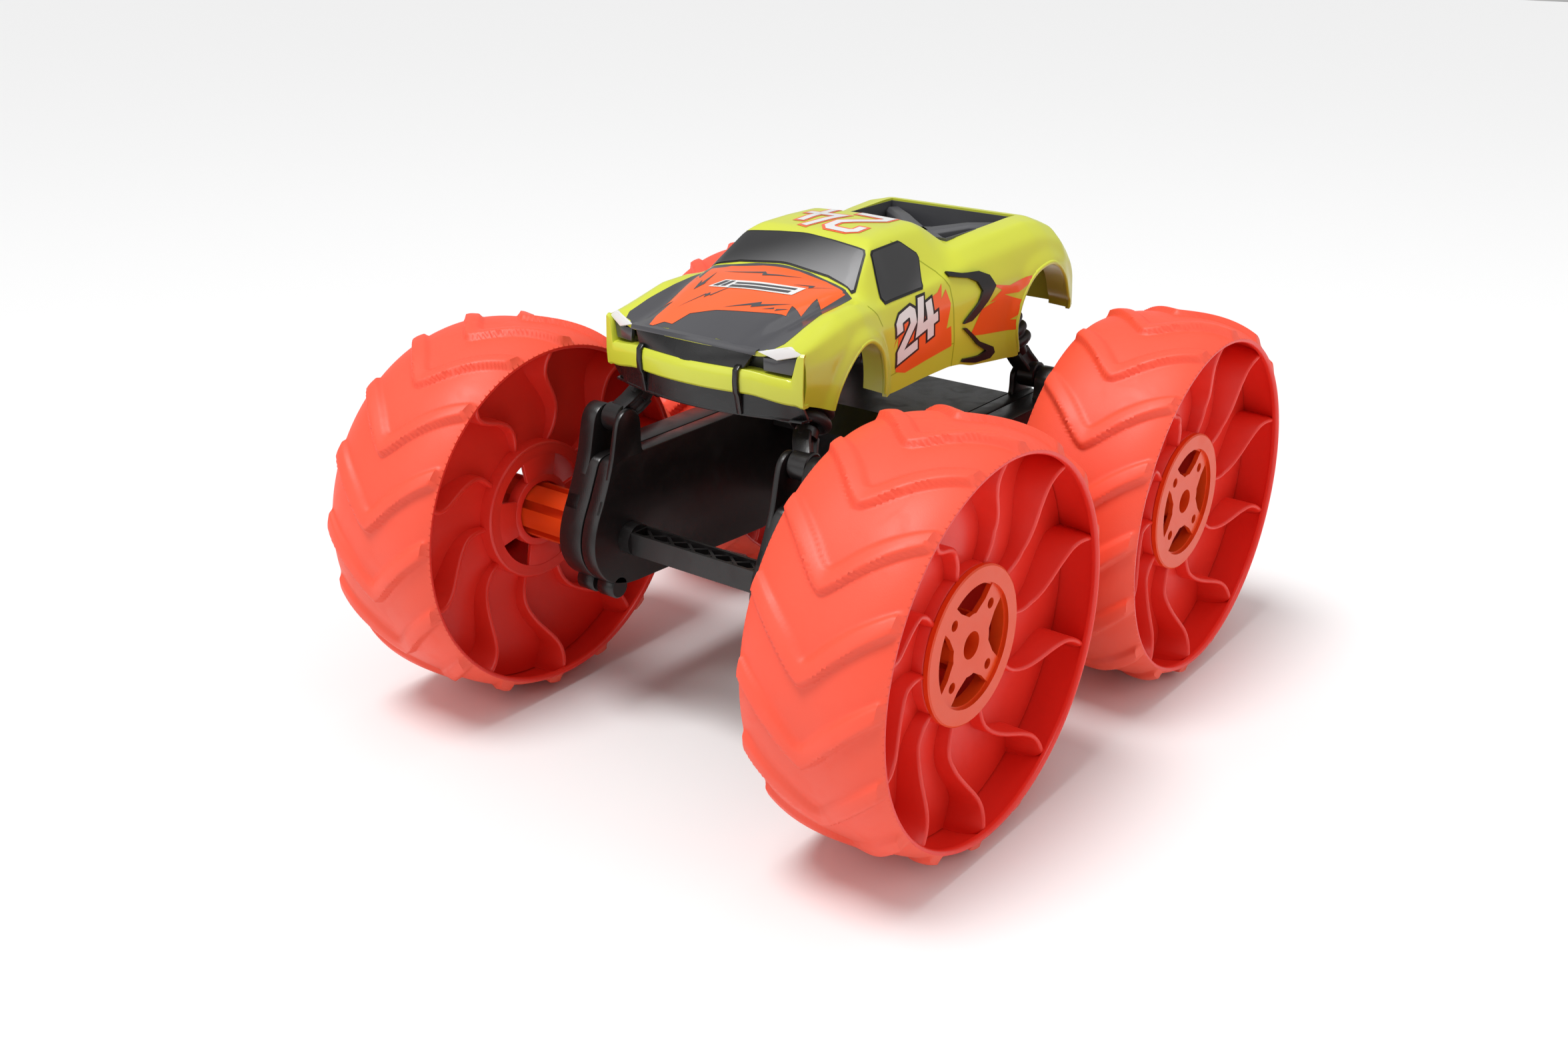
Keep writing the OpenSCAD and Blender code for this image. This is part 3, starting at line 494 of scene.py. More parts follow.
REAR_ARCH = flowing([
    (-143.4, 40), (-142.2, 54), (-139.6, 62), (-139.4, 68), (-142.2, 76), (-148, 82.6),
    (-156.6, 86), (-166, 85.8), (-175, 79.6), (-181.4, 70), (-185, 63.4), (-186, 40)])
# Rear and front end of the bed: x and half width
BED = ((-161.5, 29.4), (-111.5, 28.6))
BED_OPENING = [(-162, -29.6), (-162, 29.6), (-110.8, 28.4), (-110.8, -28.4)]


NOSE_X = 7.4  # the bumper's face at the middle of the nose


def nose_setback(y):
    """How far the nose falls back from its tip at a half width."""
    y = abs(y)
    if y < 28:
        return 4 * (y / 28) ** 2
    return 4 + 5.2 * ((y - 28) / 15.5) ** 1.15


def section(x):
    """The half section at x as points from the crown down, with softened corners."""
    values = table(SECTIONS, x)
    keys = [(values[i], values[i + 1]) for i in range(0, len(values), 2)]
    # every stretch between keys keeps its own number of points, so creases line up
    shares = (12, 5, 7, 5, 7, 8, 12)
    raw = []
    for (a, b), count in zip(zip(keys, keys[1:]), shares):
        raw += [(a[0] + (b[0] - a[0]) * k / count, a[1] + (b[1] - a[1]) * k / count)
                for k in range(count)]
    raw.append(keys[-1])
    for _ in range(2):
        raw = [raw[0]] + [
            ((p[0] + 2 * q[0] + r[0]) / 4, (p[1] + 2 * q[1] + r[1]) / 4)
            for p, q, r in zip(raw, raw[1:], raw[2:])] + [raw[-1]]
    raw[0] = (0, raw[1][1])
    return raw


def flared(x, y, z):
    """The side pushed out round the wheel arches."""
    if z > 96:
        return y
    grow = 0
    for arch, reach, rise in ((FRONT_ARCH, 5.5, 1.5), (REAR_ARCH, 6.5, 1.2)):
        d, _ = nearest_on(arch, x, z)
        if d < reach:
            grow = max(grow, rise * (1 - ease(d, 0, reach)))
    return y + grow * math.copysign(1, y) * ease(abs(y), 30, 38)


def shell_surface():
    """Points of the whole skin, a row every mm from nose to tail, with the size of the grid."""
    nose, tail = SECTIONS[0][0], SECTIONS[-1][0]
    xs = range(nose, tail - 1, -1)
    rows = [section(x) for x in xs]
    # soften along the length
    for _ in range(3):
        rows = [rows[0]] + [
            [((a[0] + 2 * b[0] + c[0]) / 4, (a[1] + 2 * b[1] + c[1]) / 4)
             for a, b, c in zip(p, q, r)]
            for p, q, r in zip(rows, rows[1:], rows[2:])] + [rows[-1]]
    half = len(rows[0])
    points = []
    for x, row in zip(xs, rows):
        fade = ease(x, -32, 7)
        full = [(-y, z) for y, z in row[:0:-1]] + row
        for y, z in full:
            px = x - nose_setback(y) * fade
            points.append([px, flared(px, y, z), z])
    return points, len(xs), 2 * half - 1


def cut_openings(points, rows, cols):
    """Faces of the shell outside its arches and bed, with the cut edges drawn onto the outlines."""
    def zone(p):
        if abs(p[1]) > 37 and p[2] < 88:
            for outline in (FRONT_ARCH, REAR_ARCH):
                if inside(outline, p[0], p[2]):
                    return outline, (0, 2)
        if p[2] > 95 and inside(BED_OPENING, p[0], p[1]):
            return BED_OPENING, (0, 1)
        return None, None
    kept, border = [], {}
    for face in grid_faces(rows, cols):
        centre = [sum(points[i][k] for i in face) / 4 for k in range(3)]
        outline, axes = zone(centre)
        if outline is None:
            kept.append(face)
        else:
            for i in face:
                border[i] = (outline, axes)
    used = {i for face in kept for i in face}
    for i, (outline, (a, b)) in border.items():
        if i in used:
            _, near = nearest_on(outline, points[i][a], points[i][b])
            points[i][a], points[i][b] = near
    return kept


def body_shell():
    """The lime moulding, and its outer face as a tree that prints are laid on."""
    points, rows, cols = shell_surface()
    faces = cut_openings(points, rows, cols)
    obj = mesh_piece("body_shell_moulding", [at_front(p) for p in points], faces, LIME)
    bm = bmesh.new()
    bm.from_mesh(obj.data)
    loose = [v for v in bm.verts if not v.link_faces]
    bmesh.ops.delete(bm, geom=loose, context="VERTS")
    bmesh.ops.recalc_face_normals(bm, faces=bm.faces)
    top = max(bm.faces, key=lambda f: f.calc_center_median().z)
    if top.normal.z < 0:
        bmesh.ops.reverse_faces(bm, faces=bm.faces)
    bm.to_mesh(obj.data)
    bm.free()
    skin = BVHTree.FromPolygons([v.co.copy() for v in obj.data.vertices],
                                [list(p.vertices) for p in obj.data.polygons])
    return shade_smooth(walled(obj, 1.7, -1), 40), skin


def side_width(x, z):
    """Half width of the shell's section at x where it is nearest to a height."""
    return min(section(x), key=lambda q: abs(q[1] - z))[0]


def arch_beads():
    """Rolled edges round the wheel arches, with the flanges that turn in behind them."""
    parts = []
    for arch in (FRONT_ARCH, REAR_ARCH):
        path = [p for p in arch if p[1] > table(SECTIONS, p[0])[-1] + 0.6]
        for side in SIDES.values():
            line = [(x, side * (side_width(x, z) + 0.75), z) for x, z in path]
            parts.append(tube_along("arch edge", line, 0.95, LIME))
        # the flange runs over the top and down the rear only
        top = max(range(len(path)), key=lambda k: path[k][1])
        for side in SIDES.values():
            rows = []
            for x, z in path[top - 4:]:
                y = side_width(x, z)
                rows.append([(x, side * (y + 0.2), z), (x - 0.4, side * (y - 8.5), z + 0.3)])
            parts.append(outward(walled(sheet("flange", rows, LIME), 1.2)))
    return joined("arch_beads", parts)


def nose_height(y):
    """Heights of the brow, the bumper's top edge and its bottom edge at a half width."""
    y = abs(y)
    if y < 28:
        brow = 85 - 1.6 * (y / 28) ** 2
    else:
        brow = 83.4 + 2.6 * ease(y, 28, 38.5) - 1.8 * ease(y, 38.5, 43.5)
    top = 76.7 - 2 * ease(y, 22, 40)
    bottom = 69.3 - 2.4 * ease(y, 24, 41) - 0.8 * ease(y, 41, 43.5)
    return brow, top, bottom


def across_nose(half, steps):
    """Evenly spaced widths from one side of the nose to the other."""
    return [-half + 2 * half * k / steps for k in range(steps + 1)]


def nose_bar():
    """The bumper below the grille, with a ledge on top and cheeks that close to the fenders."""
    rows = []
    for y in across_nose(43.9, 88):
        brow, top, bottom = nose_height(y)
        x0 = NOSE_X - nose_setback(y)
        cheek = ease(abs(y), 39.8, 42.6)
        rim = top + (brow - 0.4 - top) * cheek
        rows.append([(x0 - 4.5 * (1 - cheek) - 0.5, y, rim), (x0 + 0.1, y, rim), (x0 + 0.55, y, rim - 0.5),
                     (x0 + 0.9, y, (top + bottom) / 2 + 1), (x0 + 0.6, y, bottom + 0.5),
                     (x0 + 0.1, y, bottom), (x0 - 2.4, y, bottom)])
    return shade_smooth(outward(walled(sheet("nose_bar", rows, LIME), 1.2)), 40)


def nose_dark():
    """Black recess behind the grille, the hood print's edge, the grille panel and the lamps' dark parts."""
    rows = []
    for y in across_nose(42, 56):
        brow, top, _ = nose_height(y)
        x0 = 7 - nose_setback(y)
        rows.append([(x0 - 4.2, y, top - 1.5), (x0 - 3.2, y, brow - 0.8)])
    parts = [sheet("recess", rows, SEAM_BLACK)]
    # the hood print wraps over the edge above the grille
    rows = []
    for y in across_nose(27.6, 40):
        brow = nose_height(y)[0]
        x0 = 7 - nose_setback(y)
        rows.append([(x0 - 1.6, y, brow + 0.7), (x0 + 0.35, y, brow + 0.45), (x0 + 0.7, y, brow - 0.2),
                     (x0 + 0.75, y, brow - 0.9)])
    parts.append(outward(walled(sheet("hood edge", rows, HOOD_GREY), 0.5)))
    # grille panel: it leans back towards its top and follows the nose round
    outline = [(-26.6, 83.2), (-23.5, 77.8), (-19.5, 76.4), (0, 77), (19.5, 76.4), (23.5, 77.8),
               (26.6, 83.2), (13, 84.2), (0, 84.7), (-13, 84.2)]
    faces = [[(7.6 - nose_setback(y) - 0.16 * (z - 76.5) + depth, y, z) for y, z in outline]
             for depth in (0.2, -2.6)]
    parts.append(plate("grille", *faces, TRIM, 0.4))
    outline = [(29.2, 81.8), (29.6, 77.2), (39.2, 76.4), (41.6, 82.6), (35.4, 81.4)]
    for side in SIDES.values():
        faces = [[(7 - nose_setback(y) + depth - (z - 76) * 0.1, side * y, z) for y, z in outline]
                 for depth in (-0.4, -2.2)]
        parts.append(plate("lamp", *faces, HOOD_GREY, 0.3))
    return joined("grille_and_lamps", parts)


def lamp_brows():
    """Pale angular lamp lenses under the brow."""
    face = [(3.4, 28, 83.9), (-0.4, 38.6, 86.5), (-1.9, 43.2, 83.8), (1.9, 35, 81.7)]
    parts = []
    for side in SIDES.values():
        front = [(x, side * y, z) for x, y, z in face]
        back = [(x - 2.0, y, z - 0.5) for x, y, z in front]
        parts.append(plate("brow", front, back, WHITE_PRINT, 0.25))
    return joined("lamp_lenses", parts)


def chin_guard():
    """The black chin under the bumper, its bead, the two uprights and the corner wings."""
    rows = []
    for y in across_nose(42.5, 68):
        x0 = NOSE_X - nose_setback(y)
        low = (x0 - 1.2 - 4 * ease(abs(y), 32, 42.5), y, 61.2 - 1.4 * ease(abs(y), 32, 42))
        rows.append([(x0 - 1.0, y, nose_height(y)[2] + 0.2), low])
    parts = [walled(sheet("chin", rows, TRIM), 1.1),
             tube_along("chin bead", [low for _, low in rows], 0.75, TRIM)]
    for side in SIDES.values():
        y = side * 21.5
        x0 = NOSE_X - nose_setback(y)
        parts.append(bar_along("upright", [
            (x0 - 3.4, y, 78), (x0 + 0.6, y, 77.9), (x0 + 1.6, y, 77), (x0 + 1.9, y, 73),
            (x0 + 1.6, y, 69.4), (x0 + 0.8, y, 68), (x0 - 0.6, y, 61.2)], 2.2, 1.3, TRIM))
        # corner wing that runs back under the fender
        parts.append(prism("wing", [(-1, side * 33), (-3, side * 42), (-7.4, side * 43), (-7.4, side * 41),
                                    (-4.6, side * 38)], "z", 59.6, 60.6, TRIM, bevel=0.25))
    return joined("chin_guard", parts)


# ---- prints and glazing laid on the shell ----

def patch(name, outline, facing, skin, material, lift=0.12, step=1.6, thick=0.0):
    """A thin sheet cut to an outline and laid on the shell, seen from above or from one side."""
    pts = []
    for a, b in zip(outline, outline[1:] + outline[:1]):
        n = max(1, int(math.hypot(b[0] - a[0], b[1] - a[1]) / step))
        pts += [(a[0] + (b[0] - a[0]) * k / n, a[1] + (b[1] - a[1]) * k / n) for k in range(n)]
    rim = len(pts)
    xs = [p[0] for p in outline]
    ys = [p[1] for p in outline]
    u = min(xs) + step / 2
    while u < max(xs):
        v = min(ys) + step / 2
        while v < max(ys):
            if inside(outline, u, v) and nearest_on(outline, u, v)[0] > step * 0.45:
                pts.append((u, v))
            v += step
        u += step
    edges = [(k, (k + 1) % rim) for k in range(rim)]
    flat, _, tris, _, _, _ = delaunay_2d_cdt([Vector(p) for p in pts], edges, [], 1, 1e-5)
    verts, normals, bad = [], [], set()
    for k, p in enumerate(flat):
        if facing == "above":
            start, ray = at_front((p.x, p.y, 150)), Vector((0, 0, -1))
        else:
            start, ray = at_front((p.x, facing * 80, p.y)), Vector((0, -facing, 0))
        hit, normal, _, _ = skin.ray_cast(start, ray)
        if hit is None:
            bad.add(k)
            hit, normal = Vector((0, 0, 0)), -ray
        if normal.dot(ray) > 0:
            normal = -normal
        verts.append(hit + normal * lift * MM)
        normals.append(normal)
    faces = [t for t in tris if not any(i in bad for i in t)]
    obj = mesh_piece(name, verts, faces, material)
    mesh = obj.data
    bm = bmesh.new()
    bm.from_mesh(mesh)
    bmesh.ops.delete(bm, geom=[v for v in bm.verts if not v.link_faces], context="VERTS")
    bmesh.ops.recalc_face_normals(bm, faces=bm.faces)
    if bm.faces:
        want = Vector((0, 0, 1)) if facing == "above" else Vector((0, facing, 0))
        if sum(f.normal.dot(want) for f in bm.faces) < 0:
            bmesh.ops.reverse_faces(bm, faces=bm.faces)
    bm.to_mesh(mesh)
    bm.free()
    if thick:
        walled(obj, thick, 1)
    return shade_smooth(obj)


def stroke(points, width):
    """Outline of a polyline drawn with a broad square pen."""
    left, right = [], []
    n = len(points)
    for i in range(n):
        p = Vector(points[i])
        if i == 0:
            d = (Vector(points[1]) - p).normalized()
            p = p - d * width / 2
            m = Vector((-d.y, d.x)) * width / 2
        elif i == n - 1:
            d = (p - Vector(points[i - 1])).normalized()
            p = p + d * width / 2
            m = Vector((-d.y, d.x)) * width / 2
        else:
            a = (p - Vector(points[i - 1])).normalized()
            b = (Vector(points[i + 1]) - p).normalized()
            na, nb = Vector((-a.y, a.x)), Vector((-b.y, b.x))
            m = (na + nb).normalized()
            m *= width / 2 / max(0.45, m.dot(na))
        left.append((p.x + m.x, p.y + m.y))
        right.append((p.x - m.x, p.y - m.y))
    return left + right[::-1]


# Plain block figures 2 and 4 on a 6 by 10 field
FIGURES = [
    [[(0.2, 8.0), (0.2, 9.2), (1.2, 10), (4.8, 10), (5.8, 9.0), (5.8, 6.6), (0.3, 1.6), (0.3, 0), (6, 0)]],
    [[(9.6, 10), (8.0, 3.2), (14.4, 3.2)], [(12.6, 7.6), (12.6, 0)]],
]


def race_number(name, place, facing, skin, pens):
    """The number 24; place turns the figures' field into the shell's flat view."""
    parts = []
    for level, (extra, material) in enumerate(pens):
        for figure in FIGURES:
            for line in figure:
                outline = stroke(line, 2.0 + extra)
                outline = [place(p) for p in outline]
                parts.append(patch("pen", outline, facing, skin, material, 0.14 + 0.1 * level, 1.2))
    return joined(name, parts)


HOOD_PANEL = [
    (4.5, -27.8), (2.6, -32), (-3, -34.6), (-12, -34.4), (-24, -33.6), (-36, -33.8), (-43.6, -33.2),
    (-45.4, -25), (-47.4, -12), (-47.8, 0), (-47.4, 12), (-45.4, 25), (-43.6, 33.2), (-36, 33.8),
    (-24, 33.6), (-12, 34.4), (-3, 34.6), (2.6, 32), (4.5, 27.8), (5.6, 20), (6.5, 10), (6.9, 0),
    (6.5, -10), (5.6, -20)]
HOOD_FLAME = [
    (5.6, -18.6), (1, -14.6), (1.6, -10.6), (-6, -9), (-10.6, -1), (-12.8, 7), (-17.4, 24.2),
    (-23, 22.6), (-21.6, 27.4), (-32, 26.6), (-29.6, 30), (-42.4, 31), (-45.2, 21), (-46.6, 8), (-46.4, -8), (-44.6, -21.6),
    (-40, -27), (-30, -24.6), (-33, -27.6), (-20, -25.8), (-9, -24), (-12, -21.6), (-2, -21)]
HOOD_SHARDS = [
    [(-13, 0), (-18, 9), (-16.6, 9.4), (-24, 22), (-19.6, 11.6), (-21.2, 11)],
    [(-8, -17), (-20, -13), (-17, -12), (-30, -6), (-18.6, -10.4), (-21, -12)],
    [(-38, -20), (-41, -4), (-39, -3), (-44, 12), (-40.8, -2), (-42.6, -4)],
    [(-37, 12), (-40, 20), (-38, 20), (-43.6, 29), (-37, 19), (-38.6, 18.4)],
    [(-21, -20), (-29, -22.4), (-26, -20.6), (-37, -22), (-26, -19.2), (-28, -18.6)],
    [(-17, 14), (-19, 19), (-17.6, 19), (-20.6, 23), (-18.6, 18), (-19.6, 17.6)],
]
# Blank plate across the hood, with two plain dark bars and two slashes at one end
HOOD_PLATE = [(-24.6, -16), (-31.6, -13.6), (-36.4, 18.6), (-29.6, 17.4)]
HOOD_BARS = [
    [(-26.4, -8.4), (-28.4, -8), (-32.2, 15.4), (-30.4, 15.2)],
    [(-29.4, -7.8), (-30.8, -7.6), (-34.8, 16.2), (-33.4, 16)],
    [(-25.6, -14.8), (-30.8, -13), (-31.2, -11.2), (-26, -12.6)],
    [(-26.2, -11.8), (-31.2, -10.4), (-31.6, -9), (-26.6, -10)],
]
DOOR_SPLASH = [
    (-58.6, 73), (-62, 77), (-60.4, 64), (-67, 62.2), (-97.4, 65.6), (-96.8, 73.4), (-93.8, 73), (-96.8, 82),
    (-95, 87.6), (-91.4, 84.6), (-93, 90), (-89.6, 87.4), (-75, 84), (-66, 84)]
QUARTER_SPLASH = [
    (-153.2, 84.2), (-144, 84), (-133, 82.6), (-121, 85), (-127.6, 81.8), (-119.6, 78.2), (-124.4, 78.4),
    (-114.4, 76.6), (-107.6, 67.6), (-116, 66.4), (-143.6, 63.4), (-144.6, 67.4), (-134.6, 68.6),
    (-144.2, 71.4), (-145.4, 74), (-129.6, 79.6), (-139, 78.8)]


def prints_and_glazing(skin):
    pieces = [patch("hood_print", HOOD_PANEL, "above", skin, HOOD_GREY, 0.1),
              patch("hood_flame", HOOD_FLAME, "above", skin, ORANGE_PRINT, 0.2)]
    pieces.append(joined("hood_shards", [patch("shard", s, "above", skin, HOOD_GREY, 0.3, 1.0)
                                         for s in HOOD_SHARDS]))
    pieces.append(joined("hood_plate", [patch("plate", HOOD_PLATE, "above", skin, WHITE_PRINT, 0.36, 1.2)] + [
        patch("bar", b, "above", skin, HOOD_GREY, 0.46, 1.0) for b in HOOD_BARS]))
    screen = [(-45.6, -31.2), (-48, -20), (-48.9, 0), (-48, 20), (-45.6, 31.2), (-46.6, 31.6), (-58.8, 27.2),
              (-59.8, 26.2), (-60.6, 12), (-60.8, 0), (-60.6, -12), (-59.8, -26.2), (-58.8, -27.2),
              (-46.6, -31.6)]
    rim = [(-44.9, -31.9), (-47.3, -20), (-48.2, 0), (-47.3, 20), (-44.9, 31.9), (-46.6, 32.5), (-59.2, 27.8),
           (-60.5, 26.6), (-61.3, 12), (-61.5, 0), (-61.3, -12), (-60.5, -26.6), (-59.2, -27.8), (-46.6, -32.5)]
    pieces.append(joined("windscreen_glazing", [
        patch("edging", rim, "above", skin, SEAM_BLACK, 0.2),
        patch("screen", screen, "above", skin, GLAZING_PAINTED_REFLECTION, 0.34)]))
    pane = [(-57.6, 89.8), (-56.9, 91.4), (-61.2, 104.6), (-62.4, 105.4), (-79.6, 106), (-80.8, 105.5),
            (-87, 101), (-87.2, 99.8), (-82.2, 91.4), (-81.2, 90.6)]
    edge = [(-57, 89), (-56.1, 91.3), (-60.7, 105), (-62.2, 106.1), (-79.8, 106.7), (-81.2, 106),
            (-87.7, 101.3), (-87.9, 99.7), (-82.6, 90.9), (-81.3, 89.9)]
    parts = []
    for side in SIDES.values():
        parts += [patch("edging", edge, side, skin, SEAM_BLACK, 0.2),
                  patch("pane", pane, side, skin, SIDE_GLAZING_PAINTED_REFLECTION, 0.34)]
    pieces.append(joined("side_glazing", parts))
    parts = []
    for side in SIDES.values():
        parts += [patch("splash", DOOR_SPLASH, side, skin, ORANGE_PRINT, 0.12),
                  patch("splash", QUARTER_SPLASH, side, skin, ORANGE_PRINT, 0.12)]
    pieces.append(joined("side_prints", parts))
    pens = ((1.9, SEAM_BLACK), (0.5, WHITE_PRINT))
    for word, side in SIDES.items():
        def on_door(p, side=side):
            u = p[0] if side > 0 else 14.4 - p[0]
            return (-62.6 - 1.62 * u, 68.6 + 1.36 * p[1] + 0.4 * u)
        pieces.append(race_number("door_number_" + word, on_door, side, skin, pens))

    def on_roof(p):
        return (-94 + 2.5 * p[1], 15.6 - 2.15 * p[0])
    pieces.append(race_number("roof_number", on_roof, "above", skin,
                              ((0.55, ORANGE_PRINT), (-0.45, WHITE_PRINT))))
    # crescent scoops behind the doors
    parts = []
    upper = [(-97.4, 93), (-105, 91.6), (-114, 91), (-120, 88.6), (-122.6, 84.4), (-117, 79.4),
             (-107.6, 73.6), (-103, 73.2), (-104, 74.4), (-111.4, 80), (-114, 83.8), (-112, 87.4), (-108, 89.4), (-98, 91.4)]
    lower = [(-103, 71.4), (-104.6, 71.4), (-113, 64.6), (-123.4, 60.2), (-125, 57.6), (-122, 55.8),
             (-112, 56.2), (-103.6, 58.2), (-104.4, 59.2), (-114, 58.6), (-118.6, 59.6), (-112, 63.4)]
    for side in SIDES.values():
        for outline in (upper, lower):
            parts.append(patch("scoop", outline, side, skin, SEAM_BLACK, 0.25, 1.0, thick=0.9))
    pieces.append(joined("side_scoops", parts))
    # door creases, drawn as thin strips of darker lime: painted shade in the creases
    parts = []
    for side in SIDES.values():
        for line in ([(-46.4, 90.6), (-50, 87), (-51.6, 83)],
                     [(-76, 107), (-84, 101.4), (-93.6, 94), (-97.8, 88), (-99, 66), (-98.6, 57.6)],
                     [(-57.6, 63.4), (-98.6, 66.4)]):
            parts.append(patch("line", stroke(line, 0.5), side, skin, DOOR_CREASE_SHADE, 0.05, 1.0))
    pieces.append(joined("door_lines", parts))
    return pieces


def bed_tray():
    """The cargo bed: dark walls, floor and a raised cross brace."""
    (x0, w0), (x1, w1) = BED
    corners = [(x0, -w0), (x0, w0), (x1, w1), (x1, -w1)]
    verts = [at_front((x, y, z)) for z in (102.4, 92.6) for x, y in corners]
    faces = [[i, 4 + i, 4 + (i + 1) % 4, (i + 1) % 4] for i in range(4)] + [[4, 7, 6, 5]]
    parts = [walled(mesh_piece("tray", verts, faces, GREY, smooth=False), 0.8)]
    # each arm of the brace: place along it, half width and height, low and broad at the crossing
    stations = [(-1, 3.4, 100.2), (-0.55, 3.6, 100.2), (-0.16, 5.2, 98.4), (0.16, 5.2, 98.4),
                (0.55, 3.6, 100.2), (1, 3.4, 100.2)]
    foot = 92.8
    for turn in (1, -1):
        dx, dy = (x1 - x0) / 2 - 1.4, turn * 27.6
        length = math.hypot(dx, dy)
        ux, uy = dx / length, dy / length
        verts = []
        for t, half, z in stations:
            px, py = (x0 + x1) / 2 + ux * length * t, uy * length * t
            for s, level in ((1, foot), (1, z - 1.4), (0.6, z), (-0.6, z), (-1, z - 1.4), (-1, foot)):
                verts.append(at_front((px - uy * half * s, py + ux * half * s, level)))
        faces = grid_faces(len(stations), 6, close_cols=True)
        faces += [list(range(5, -1, -1)), [6 * (len(stations) - 1) + k for k in range(6)]]
        parts.append(soften(outward(mesh_piece("brace", verts, faces, GREY)), 0.35))
    return joined("bed_tray", parts)


# ---- wheels ----

HALF_W = 26.9
CROWN_R = 71.8
LUGS = 16
LUG_PHASE = 6.2
LUG_W = 24.5  # half width that the lugs' slant is measured over
LUG_TIP = 12.5
LUG_R = 74
BLADES = 10
BLADE_FROM, BLADE_TO = 26, 70.8
HUB_R = 27.5
WEB_Y = 9.5


def at_wheel(end, side):
    def place(p):
        return Vector(((ENDS[end] * AXLE_X + p[0]) * MM, SIDES[side] * (TRACK + p[1]) * MM,
                       (AXLE_Z + p[2]) * MM))
    return place


def crown(w):
    return CROWN_R - 5.1 * (abs(w) / HALF_W) ** 3.3


def lug_rise(angle, w):
    """How far a lug stands out of the crown at an angle in degrees and a width from the middle."""
    pitch = 360 / LUGS
    arc = math.radians(LUG_R)
    v = (angle - LUG_PHASE - math.degrees(math.asin(LUG_TIP / LUG_R))) % pitch
    a = abs(w)
    out = a / LUG_W
    lower = -LUG_TIP + 24 * out + 0.8 * math.sin(math.pi * min(1, out)) + 1.2 * math.exp(-(a / 3.0) ** 2)
    upper = lower + 10.4 - 2.0 * out - 1.6 * math.exp(-(a / 4.5) ** 2)
    best = 0
    for turn in (v - pitch, v):
        s = turn * arc
        # a steep step on the lower edge and a long fall on the upper edge
        step = ease(s - lower, -0.3, 0.9)
        fall = (1 - 0.35 * ease(s - lower, 2, 9)) * ease(upper - s, -0.9, 1.6)
        best = max(best, step * fall)
    top = 2.2 + 0.5 * (a / HALF_W) ** 2
    return top * best * (1 - ease(a, 25.4, 26.4))


def tread(place, name):
    """The crown with its lugs; rows run round the wheel, closer together towards the lips."""
    steps, across = 800, 46
    spans = [2 * k / (across - 1) - 1 for k in range(across)]
    ws = [HALF_W * (0.35 * math.sin(math.pi / 2 * t) + 0.65 * t) for t in spans]
    verts = []
    for i in range(steps):
        angle = 360 * i / steps
        t = math.radians(angle)
        for w in ws:
            r = crown(w) + lug_rise(angle, w)
            verts.append(place((r * math.cos(t), w, r * math.sin(t))))
    return mesh_piece(name, verts, grid_faces(steps, across, close_rows=True), CORAL_TREAD_PAINTED_SHEEN)


def drum_inside(place):
    """Rounded lips and the inside of the drum, in the deeper red of the painted shade."""
    half = [(66.7, HALF_W), (66.4, HALF_W), (66.0, HALF_W), (65.5, HALF_W - 0.4), (65.2, HALF_W - 1.2),
            (65.4, HALF_W - 2.4), (66.9, 23.9), (68, 20), (68.9, 15.9), (69.4, 10), (69.5, 4)]
    profile = half + [(r, -y) for r, y in half[::-1]]
    return lathe_y("inside", profile, CORAL_DRUM_PAINTED_SHADE, place, 160, closed=False)


def blade_line(f):
    """A point of a blade seen along the axle, from the hub at 0 to the drum at 1."""
    r = BLADE_FROM + f * (BLADE_TO - BLADE_FROM)
    a = math.radians(16 * (1 - f) + 5 * math.sin(math.radians(360 * f * 1.1)))
    return r * math.cos(a), r * math.sin(a)


def blade_reach(r):
    """How far a blade stands from the middle plane at a radius, outwards and inwards."""
    out = [(BLADE_TO, 12), (68, 21.6), (65.6, 25.2), (54, 22.0), (38, 16.4), (25, 14.9)]
    back = [(BLADE_TO, 12), (68, 21.6), (65.6, 25.2), (54, 21.4), (38, 15.6), (25, 12.9)]
    def read(rows):
        for (r0, w0), (r1, w1) in zip(rows, rows[1:]):
            if r >= r1:
                f = (r0 - r) / (r0 - r1)
                return w0 + (w1 - w0) * max(0.0, f)
        return rows[-1][1]
    return read(out), read(back)


def blade_mesh(place):
    """One paddle blade with rounded free edges, at the first blade's angle."""
    steps = 30
    c, s = math.cos(math.radians(18)), math.sin(math.radians(18))
    line = [blade_line(k / steps) for k in range(steps + 1)]
    line = [(x * c - z * s, x * s + z * c) for x, z in line]
    verts = []
    for k, (x, z) in enumerate(line):
        a, b = line[max(k - 1, 0)], line[min(k + 1, steps)]
        d = Vector((b[0] - a[0], b[1] - a[1])).normalized()
        nx, nz = -d.y, d.x
        out, back = blade_reach(math.hypot(x, z))
        ring = [(0.95, -back + 0.9), (0.62, -back + 0.25), (0, -back), (-0.62, -back + 0.25),
                (-0.95, -back + 0.9), (-1.25, 0), (-0.95, out - 0.9), (-0.62, out - 0.25), (0, out),
                (0.62, out - 0.25), (0.95, out - 0.9), (1.25, 0)]
        verts += [place((x + nx * t, y, z + nz * t)) for t, y in ring]
    faces = grid_faces(steps + 1, 12, close_cols=True)
    return outward(mesh_piece("blade", verts, faces, CORAL_DRUM_PAINTED_SHADE))


